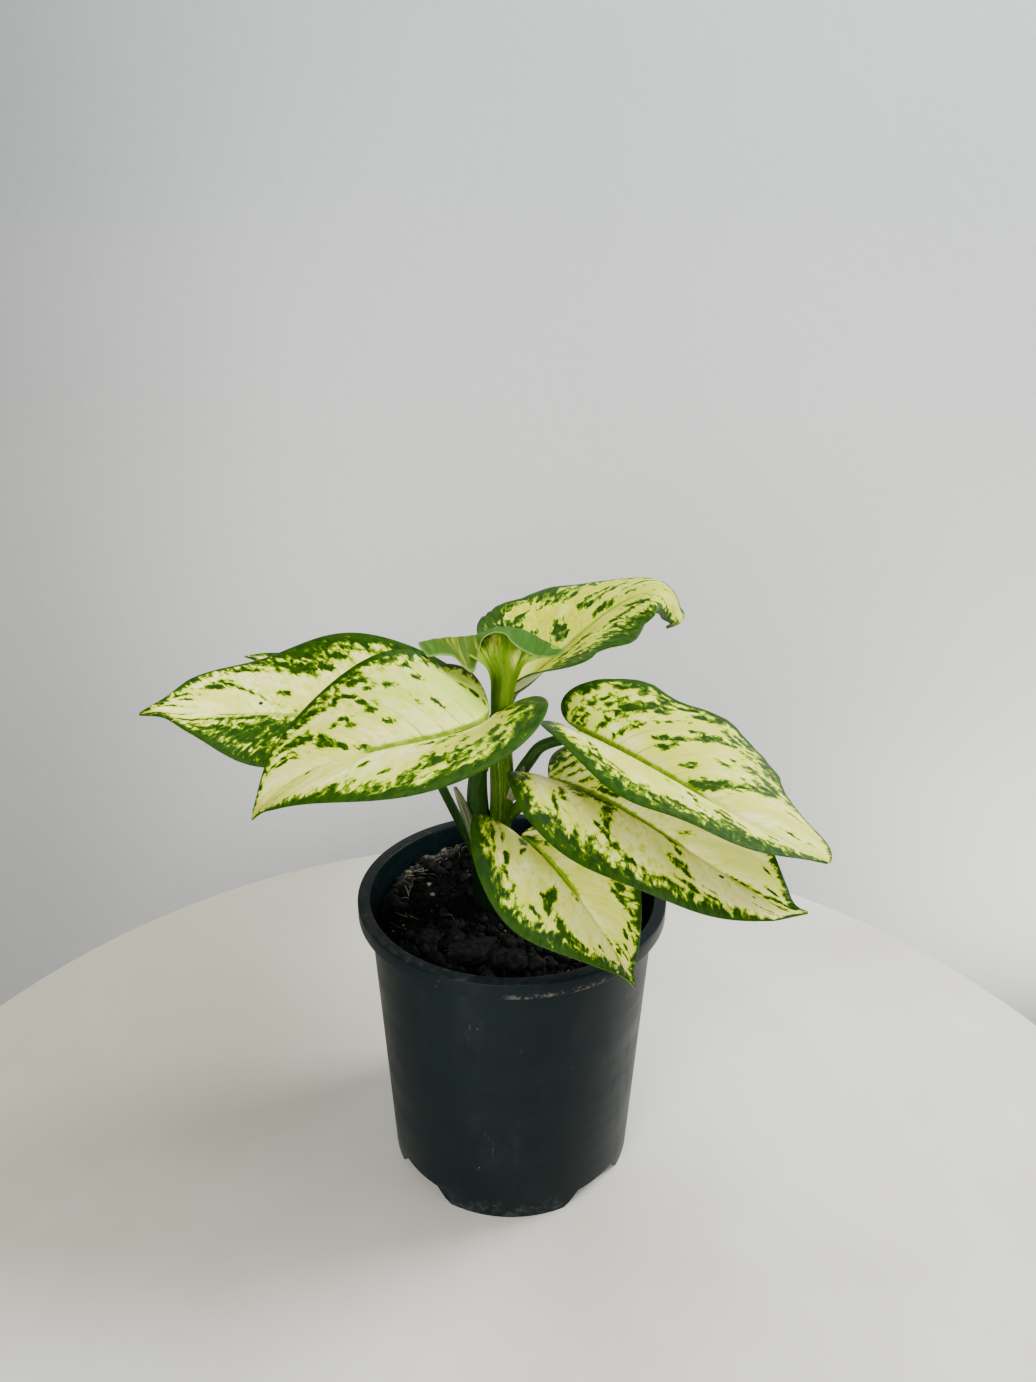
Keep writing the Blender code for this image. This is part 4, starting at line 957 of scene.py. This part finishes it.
# ---- stalks --------------------------------------------------------------------------------
# Stalks as text tables: x, y, z and radius of each point, foot to end.  A leaf stalk then
# runs in under the midrib: place along it, radius as a share of the last one, and how far
# below, in that radius.
RUN_IN = ((0.02, 0.85, 1.3), (0.10, 0.6, 1.1), (0.2, 0.4, 0.9))
STEM = "-9 9 96 8, -9 8 125 8, -9 6 142 7.6, -9 5 150 6, -9 5 153 3.5"
PETIOLES = {
    "left": """-10 6 140 4, -13 3 155 4.6, -14.3 1 168 4.5, -14 0 181 3.8, -12.5 0 194 3,
        -10.5 -1 203 2.4""",
    "young": """-7.5 6 140 4, -5.5 4 155 4.6, -4.4 2.5 168 4.8, -4.4 3 182 4.8, -5 4 194 4.7,
        -5 4 207 4.3""",
    "far_left": """-9 8 122 2.2, -13 9 132 2.2, -18.5 10 146 2.1, -25 10 161 2, -30 10 173 2,
        -33 10.5 184 2""",
    "back_left": "-9 8 134 2.2, -10.5 14 141 2.4, -12.5 24 151 2.3, -13.5 32 160 2.1",
    "top_right": "-4.5 4 180 2.4, -4 10 190 2.6, -3.5 16 200 2.3",
    "right": "-4 3 166 2.6, .5 3 176 2.7, 7 4 187 2.6, 13 4.5 193.5 2.4",
    "right_low": "-4.5 3 158 2.4, 1 1.5 165 2.5, 7 -.5 172 2.3",
    "front": "-8 4 136 2.4, -4 -2 144 2.4, -1 -7 150 2.2",
}
SHEATHS = {
    "sheath_dry": "-15 1 150 2.4, -17.5 -2.5 162 2.2, -20.5 -3 171 1.8, -23.5 -2.5 178 .8",
    "sheath_pale": "-1 -1.8 172 2, 2 -2.6 180 1.7, 4.6 -2.2 187 .7",
}


def tube(name, path, around, along, shape):
    """Closed stalk along (x, y, z, radius) points; shape(s, angle) scales its section."""
    track = weave(path, np.linspace(0, len(path) - 1, along))
    centre, radius = track[:, :3], np.maximum(track[:, 3], 0.2)
    tangent = unit(np.gradient(centre, axis=0))
    side = unit(np.cross(tangent, (0.3, 1.0, 0.1)))
    front = np.cross(side, tangent)
    angle = np.linspace(0, 2 * math.pi, around, endpoint=False)
    s, a = np.meshgrid(np.linspace(0, 1, along), angle, indexing="ij")
    cap = np.ones(along)
    cap[0], cap[-1] = 0.15, 0.15
    r = radius[:, None] * shape(s, a) * cap[:, None]
    points = centre[:, None] + r[..., None] * (np.cos(a)[..., None] * side[:, None]
                                               + np.sin(a)[..., None] * front[:, None])
    length = np.concatenate([[0], np.cumsum(np.linalg.norm(np.diff(centre, axis=0), axis=1))])
    place = np.stack([np.cos(a) * radius[:, None] * 2, np.sin(a) * radius[:, None] * 2,
                      length[:, None] + 0 * a], -1).reshape(-1, 3)
    points = np.concatenate([points.reshape(-1, 3), centre[:1], centre[-1:]])
    place = np.concatenate([place, place[:1], place[-1:]])
    return build_mesh(name, points, ring_faces(along, around), {"stalk_map": place})


def petiole_path(name):
    """The stalk's own points, then its end run in under the midrib of its blade."""
    path = [*numbers(4, PETIOLES[name])]
    thick = path[-1][3]
    for row, share, drop in RUN_IN if name in LEAVES else ():
        around, _ = leaf_points(LEAVES[name], (row, row + 0.02), (-0.02, 0, 0.02))
        side, ahead = around[0, 2] - around[0, 0], around[1, 1] - around[0, 1]
        width = thick * share
        path.append((*(around[0, 1] - unit(np.cross(side, ahead)) * width * drop), width))
    return np.array(path)


def channel(s, a):
    """A shallow groove down one side of a stalk, as leaf stalks have on their upper face."""
    near = bell(np.angle(np.exp(1j * (a - math.pi / 2))) / 0.5)
    return 1 - 0.22 * near * smoothstep(0.1, 0.4, s) + 0.02 * np.sin(7 * a + 9 * s)


def cane_shape(s, a):
    """Old leaf scars ring the cane."""
    return 1 + sum(0.055 * bell((s - k) / 0.012) for k in (0.38, 0.55, 0.72, 0.86)) \
        + 0.03 * np.sin(3 * a + 5 * s)


def sheath_shape(s, a):
    return (0.55 + 0.45 * np.abs(np.cos(a + 1.2 * s))) * (1 + 0.08 * np.sin(5 * a + 8 * s))


def make_stalks():
    dark = stalk_material("stalk_dark", (0.009, 0.034, 0.003), (0.024, 0.070, 0.005),
                          (0.070, 0.13, 0.020))
    green = stalk_material("stalk_green", (0.026, 0.070, 0.002), (0.10, 0.185, 0.006),
                           (0.42, 0.46, 0.09))
    pale = stalk_material("sheath_skin", (0.12, 0.11, 0.05), (0.30, 0.28, 0.16),
                          (0.50, 0.48, 0.34))
    # The cane's near-black skin is partly its own colour and partly painted shade, as it stands in
    # shadow under the leaves.
    bark = stalk_material("cane_skin_and_shade", (0.003, 0.008, 0.003), (0.008, 0.018, 0.005),
                          (0.028, 0.040, 0.016))
    new_piece("cane", tube("cane", numbers(4, STEM), 40, 90, cane_shape), bark, ["stem"])
    for name in PETIOLES:
        skin = dark if name in ("left", "far_left", "right") else green
        path = petiole_path(name)
        mesh = tube("stalk_" + name, path, 32, 14 * len(path), channel)
        new_piece("stalk_" + name, mesh, skin, ["petiole_" + name])
    for name, path in SHEATHS.items():
        mesh = tube(name + "_skin", numbers(4, path), 24, 50, sheath_shape)
        new_piece(name + "_skin", mesh, pale, [name])


# ---- soil ----------------------------------------------------------------------------------
SOIL_LEVEL, SOIL_EDGE, SOIL_ROUGHNESS, SOIL_FLOOR = 115.0, 57.9, 1.1, 2.2
SOIL_RINGS, SOIL_SPOKES = 105, 250
SOIL_PLUG = ((51.0, 9.2), (38.8, 9.2), (37.8, SOIL_FLOOR))  # radius and height, down the side
SOIL_MOUNDS = (  # x, y, rise, spread
    (-18, -32, 4.0, 13), (4, -38, 4.5, 11), (-34, -22, 2.0, 10), (-9, 8, 2.5, 14),
    (-26, 42, 5.5, 13), (-46, 20, 4.5, 11), (2, 50, 5.0, 13), (30, -14, 1.5, 16),
    (22, 30, 1.0, 15))
CLUMPS = {  # x, y, radii, turn
    "clump_front": (-16, -34, (9, 6, 3.2), 20), "clump_side": (-34, -24, (6, 4.5, 2.6), 70),
    "clump_mid": (-1, -40, (7, 4.5, 3), -10), "clump_back": (-36, 30, (8, 3, 1.4), 140),
}
CHIPS = {
    "perlite_a": (-37, 17, (1.3, 1.0, 0.8), 30), "perlite_b": (-35, 11.5, (1.1, 0.9, 0.7), 0),
    "prill": (-47, 26, (1.7, 1.7, 1.5), 0), "bark": (-20, 25, (3.2, 1.4, 0.8), 60),
}
CANE_X, CANE_Y, CANE_CLEAR, LOOSE_EDGE = -9, 8, 9, 56.3
FIBRES, FIBRE_STEPS, FIBRE_EDGE = 64, 9, 56


def on_circle(radius, angle):
    return radius * math.cos(angle), radius * math.sin(angle)


def soil_height(x, y):
    height = SOIL_LEVEL - 1.0 * max(0, math.hypot(x, y) - 48) / 10
    for mx, my, rise, spread in SOIL_MOUNDS:
        height += rise * math.exp(-((x - mx) ** 2 + (y - my) ** 2) / (2 * spread ** 2))
    return height + SOIL_ROUGHNESS * noise.fractal(Vector((x, y, SEED)) / 9, 0.8, 2.0, 3)


def crumbly(x, y):
    """Fine relief of the soil's top: crumbs of two sizes."""
    at = Vector((x, y, 3.0))
    big, small = (noise.voronoi(at / size)[0][0] for size in (4.2, 1.6))
    return 0.9 * (0.5 - big) + 0.5 * (0.5 - small) + 0.35 * noise.noise(at / 0.8)


def dryness(x, y):
    """The crust is dry and pale along the back left edge."""
    back = math.exp(-((math.hypot(x, y) - 55.5) / 4.5) ** 2)
    return back * math.exp(-((math.degrees(math.atan2(y, x)) - 126) / 30) ** 2)


def make_soil():
    points, dry = [], []
    for i in range(1, SOIL_RINGS + 1):
        for j in range(SOIL_SPOKES):
            x, y = on_circle(SOIL_EDGE * (i / SOIL_RINGS) ** 0.8,
                             2 * math.pi * (j + 0.5 * (i % 2)) / SOIL_SPOKES)
            lower = 0.8 * smoothstep(0.93, 1.0, i / SOIL_RINGS)
            points.append((x, y, soil_height(x, y) + crumbly(x, y) - lower))
            dry.append(dryness(x, y))
    for radius, z in SOIL_PLUG:
        for j in range(SOIL_SPOKES):
            points.append((*on_circle(radius, 2 * math.pi * (j + 0.5) / SOIL_SPOKES), z))
    points += [(0, 0, soil_height(0, 0)), (0, 0, SOIL_FLOOR)]
    dry += [0] * (len(points) - len(dry))
    faces = flipped(ring_faces(SOIL_RINGS + len(SOIL_PLUG), SOIL_SPOKES))
    mesh = build_mesh("soil_bed", points, faces, {"soil_dry": dry})
    new_piece("soil_bed", mesh, soil_material("soil_mix", 1.0), ["soil"])


def lump_points(radii, turn, seed, detail, rough):
    """An irregular crumb, as points round the origin and its faces."""
    bm = bmesh.new()
    bmesh.ops.create_icosphere(bm, subdivisions=detail, radius=1)
    shift = Vector((seed * 1.7 % 31, seed * 2.3 % 29, seed * 3.1 % 37))
    c, s = math.cos(turn), math.sin(turn)
    points = []
    for vert in bm.verts:
        v = vert.co * (1 + rough * noise.fractal(vert.co * 1.6 + shift, 0.7, 2.0, 4))
        points.append((c * v.x * radii[0] - s * v.y * radii[1],
                       s * v.x * radii[0] + c * v.y * radii[1], v.z * radii[2]))
    faces = [[vert.index for vert in face.verts] for face in bm.faces]
    bm.free()
    return np.array(points), np.array(faces)


def scatter(name, count, seed, size, mat, where, detail=1):
    """Many small crumbs on the soil, joined in one piece.  where(x, y) is how likely one is."""
    rng = random.Random(seed)
    shapes = [lump_points((1, 1, 1), 0, seed + k * 13, detail, 0.45) for k in range(8)]
    points, faces, dry, total = [], [], [], 0
    while count:
        r, angle = LOOSE_EDGE * math.sqrt(rng.random()), rng.uniform(0, 2 * math.pi)
        x, y = on_circle(r, angle)
        if rng.random() > where(x, y) or math.hypot(x - CANE_X, y - CANE_Y) < CANE_CLEAR:
            continue
        count -= 1
        big = rng.uniform(*size) * (1.6 if rng.random() < 0.08 else 1)
        shape, shape_faces = shapes[rng.randrange(len(shapes))]
        spin = rng.uniform(0, 6.3)
        c, s = math.cos(spin), math.sin(spin)
        body = shape * (big, big * rng.uniform(0.55, 1), big * rng.uniform(0.6, 1.0))
        body = body @ np.array(((c, s, 0), (-s, c, 0), (0, 0, 1)))
        points.append(body + (x, y, soil_height(x, y) + big * 0.35))
        faces.append(shape_faces + total)
        dry += [dryness(x, y)] * len(body)
        total += len(body)
    mesh = build_mesh(name, np.concatenate(points), np.concatenate(faces), {"soil_dry": dry})
    new_piece(name, mesh, mat)


def make_fibres(mat):
    """Thin root and coir fibres lying over the soil, each a bent four-sided tube."""
    rng = random.Random(SEED + 40)
    points, place = [], []
    for _ in range(FIBRES):
        back = rng.random() < 0.55
        turn = math.radians(rng.gauss(137, 24) if back else rng.uniform(0, 360))
        x, y = on_circle(rng.uniform(46, 55) if back else 52 * math.sqrt(rng.random()), turn)
        heading, length = rng.uniform(0, 6.3), rng.uniform(4, 13)
        thick, bend_by = rng.uniform(0.10, 0.26), rng.uniform(-1.6, 1.6)
        for k in range(FIBRE_STEPS):
            s = k / (FIBRE_STEPS - 1)
            if k:
                x += length / FIBRE_STEPS * math.cos(heading + bend_by * s)
                y += length / FIBRE_STEPS * math.sin(heading + bend_by * s)
            out = math.hypot(x, y)
            if out > FIBRE_EDGE:
                x, y = x * FIBRE_EDGE / out, y * FIBRE_EDGE / out
            z = soil_height(x, y) + 0.75 + 1.1 * math.sin(math.pi * s) * abs(bend_by) / 2
            for m in range(4):
                a = m * math.pi / 2
                points.append((x + thick * math.cos(a) * math.sin(heading),
                               y - thick * math.cos(a) * math.cos(heading),
                               z + thick * math.sin(a)))
                place.append((m, 0, s * length))
    index = np.arange(4 * FIBRE_STEPS).reshape(-1, 4)
    one = np.concatenate([grid_faces(index, np.roll(index, -1, axis=1)),
                          [index[0, ::-1], index[-1]]])
    faces = np.concatenate([one + index.size * k for k in range(FIBRES)])
    mesh = build_mesh("soil_fibres", points, faces, {"stalk_map": place})
    new_piece("soil_fibres", mesh, mat)


def make_ground():
    make_soil()
    crumb = soil_material("soil_crumb", 1.5)
    brown = soil_material("soil_clod", 12)
    white = grain_material("perlite", (0.040, 0.042, 0.035), (0.095, 0.098, 0.082), 900)
    straw = grain_material("fibre", (0.034, 0.032, 0.025), (0.095, 0.086, 0.064), 500)
    prill = grain_material("fertiliser", (0.05, 0.065, 0.015), (0.13, 0.14, 0.04), 500,
                           (0.30, 0.42), Subsurface_Weight=0.15)
    chip = grain_material("bark_chip", (0.010, 0.012, 0.008), (0.040, 0.038, 0.022), 500)
    scatter("soil_crumbs", 1500, 101, (0.5, 1.5), crumb, lambda x, y: 1.0)
    scatter("soil_clods", 330, 202, (1.0, 2.6), brown,
            lambda x, y: math.exp(-((x + 12) ** 2 / 900 + (y + 36) ** 2 / 260)) + 0.03, 2)
    scatter("perlite_grains", 26, 303, (0.3, 0.8), white,
            lambda x, y: 0.15 + math.exp(-((x + 36) ** 2 + (y - 15) ** 2) / 250))
    for k, (name, (x, y, radii, turn)) in enumerate({**CLUMPS, **CHIPS}.items()):
        detail, rough = (4, 0.42) if name in CLUMPS else (3, 0.2)
        points, faces = lump_points(radii, math.radians(turn), 17 + 9 * k, detail, rough)
        points = points + (x, y, soil_height(x, y) + 0.3 * radii[2])
        mesh = build_mesh("lump_" + name, points, faces,
                          {"soil_dry": [dryness(x, y)] * len(points)})
        mat = brown if name in CLUMPS else {"prill": prill, "bark": chip}.get(name, white)
        new_piece("lump_" + name, mesh, mat, [name])
    make_fibres(straw)


# ---- stage and lights, in metres -------------------------------------------------------------
TABLE_RADIUS, TABLE_THICK, TABLE_X, TABLE_Y = 0.311, 0.03, -0.0025, -0.0526
WALL_BACK, WALL_SIDE, WALL_FOOT, WALL_TOP = 0.52, 3, -1.2, 2.2
SKY, SKY_POWER = (0.97, 0.985, 1.0, 1), 0.34
LIGHTS = (  # name, place, aim, watts, size, colour
    ("window", (0.95, 0.42, 0.85), (0, 0, 0.14), 40, 0.6, (1.0, 0.985, 0.955)),
    ("fill", (-0.25, -1.1, 0.75), (0, 0, 0.15), 14, 0.9, (1.0, 0.99, 0.96)),
    ("near_left", (-0.30, -0.62, 0.30), (-0.13, -0.34, 0), 4, 0.25, (1.0, 0.99, 0.96)),
    ("wall_wash", (0.20, 0.0, 0.95), (0.05, 0.52, 0.30), 9, 0.6, (1.0, 1.0, 0.99)),
    ("wall_foot", (0.55, 0.25, -0.20), (0.45, 0.52, 0.10), 2.6, 0.4, (1.0, 1.0, 0.98)),
)


def table_material():
    """Pale stone with faint clouds and veins; a painted shadow makes it greyer far left, and
    painted light makes it brighter near the camera.
    """
    t = Tree("table_top")
    at = t.position()
    cloud = t.noise(at, 5, 4.0, 0.6, 0.4)
    vein = t.noise(at, (9, 4, 1), 5.0, 0.7, 1.5)
    colour = t.ramp(cloud, 0.35, 0.7, (0.55, 0.545, 0.505), (0.45, 0.44, 0.39))
    colour = t.mix(t.times(t.span(vein, 0.55, 0.75), 0.18), colour, (0.50, 0.47, 0.40))
    x, y, _ = t.split(at)
    # Painted shadow far left, broken up by the marble's clouds.
    marble_cloud_and_shadow = t.times(t.span(x, 0.02, -0.16), t.span(y, -0.12, -0.06),
                    t.span(cloud, 0.25, 0.6, 0.7, 0.9))
    colour = t.mix(marble_cloud_and_shadow, colour, (0.33, 0.31, 0.24))
    # Painted light: a brighter pool near the camera, most on the left.
    near = t.times(t.span(y, -0.13, -0.22), t.span(x, 0.15, -0.1, 0.55, 1.0))
    colour = t.mix(near, colour, (0.93, 0.93, 0.91))
    return t.finish(colour, t.span(cloud, 0.3, 0.7, 0.45, 0.6), None)


def wall_material():
    t = Tree("wall_paint")
    at = t.position()
    x, _, z = t.split(at)
    # Painted light and shade: the wall is lighter just left of the middle, darker to the right and
    # far left, and darker and cooler towards the top.
    colour = t.ramp(x, 0.1, -0.2, (0.58, 0.58, 0.555), (0.68, 0.68, 0.655))
    colour = t.ramp(z, 0.0, 0.65, colour, (0.34, 0.375, 0.39))
    colour = t.ramp(x, -0.15, -0.5, colour, (0.62, 0.63, 0.62), "MULTIPLY")
    colour = t.mix(t.noise(at, 3, 3.0), colour, t.mix(0.2, colour, (0.8, 0.8, 0.8)))
    return t.finish(colour, 0.8, t.bump(t.noise(at, 90, 4.0), 0.002, 0.15))


def make_stage():
    bm = bmesh.new()
    bmesh.ops.create_cone(bm, cap_ends=True, segments=160, radius1=TABLE_RADIUS,
                          radius2=TABLE_RADIUS, depth=TABLE_THICK,
                          matrix=Matrix.Translation((TABLE_X, TABLE_Y, -TABLE_THICK / 2)))
    rim = [e for e in bm.edges if len(e.link_faces) == 2 and e.calc_face_angle(0) > 1]
    bmesh.ops.bevel(bm, geom=rim, offset=0.004, segments=3, affect="EDGES")
    table = add_object("table", baked("table", bm))
    table.data.materials.append(table_material())
    bm = bmesh.new()
    for x, z in ((-WALL_SIDE, WALL_FOOT), (WALL_SIDE, WALL_FOOT), (WALL_SIDE, WALL_TOP),
                 (-WALL_SIDE, WALL_TOP)):
        bm.verts.new((x, WALL_BACK, z))
    bm.faces.new(bm.verts)
    wall = add_object("wall", baked("wall", bm))
    wall.data.materials.append(wall_material())


def make_light():
    world = bpy.data.worlds.new("room")
    bpy.context.scene.world = world
    world.use_nodes = True
    back = world.node_tree.nodes["Background"]
    back.inputs[0].default_value, back.inputs[1].default_value = SKY, SKY_POWER
    for name, place, aim, power, size, colour in LIGHTS:
        data = bpy.data.lights.new(name, "AREA")
        data.energy, data.size, data.color = power, size, colour
        light = add_object(name, data)
        light.location = place
        light.rotation_euler = (Vector(aim) - Vector(place)).to_track_quat("-Z", "Y").to_euler()


def main():
    make_camera()
    make_stage()
    make_light()
    make_pot()
    make_ground()
    make_stalks()
    blade = leaf_material()
    for name in LEAVES:
        make_leaf(name, blade)
    make_young_leaf(young_material())


main()
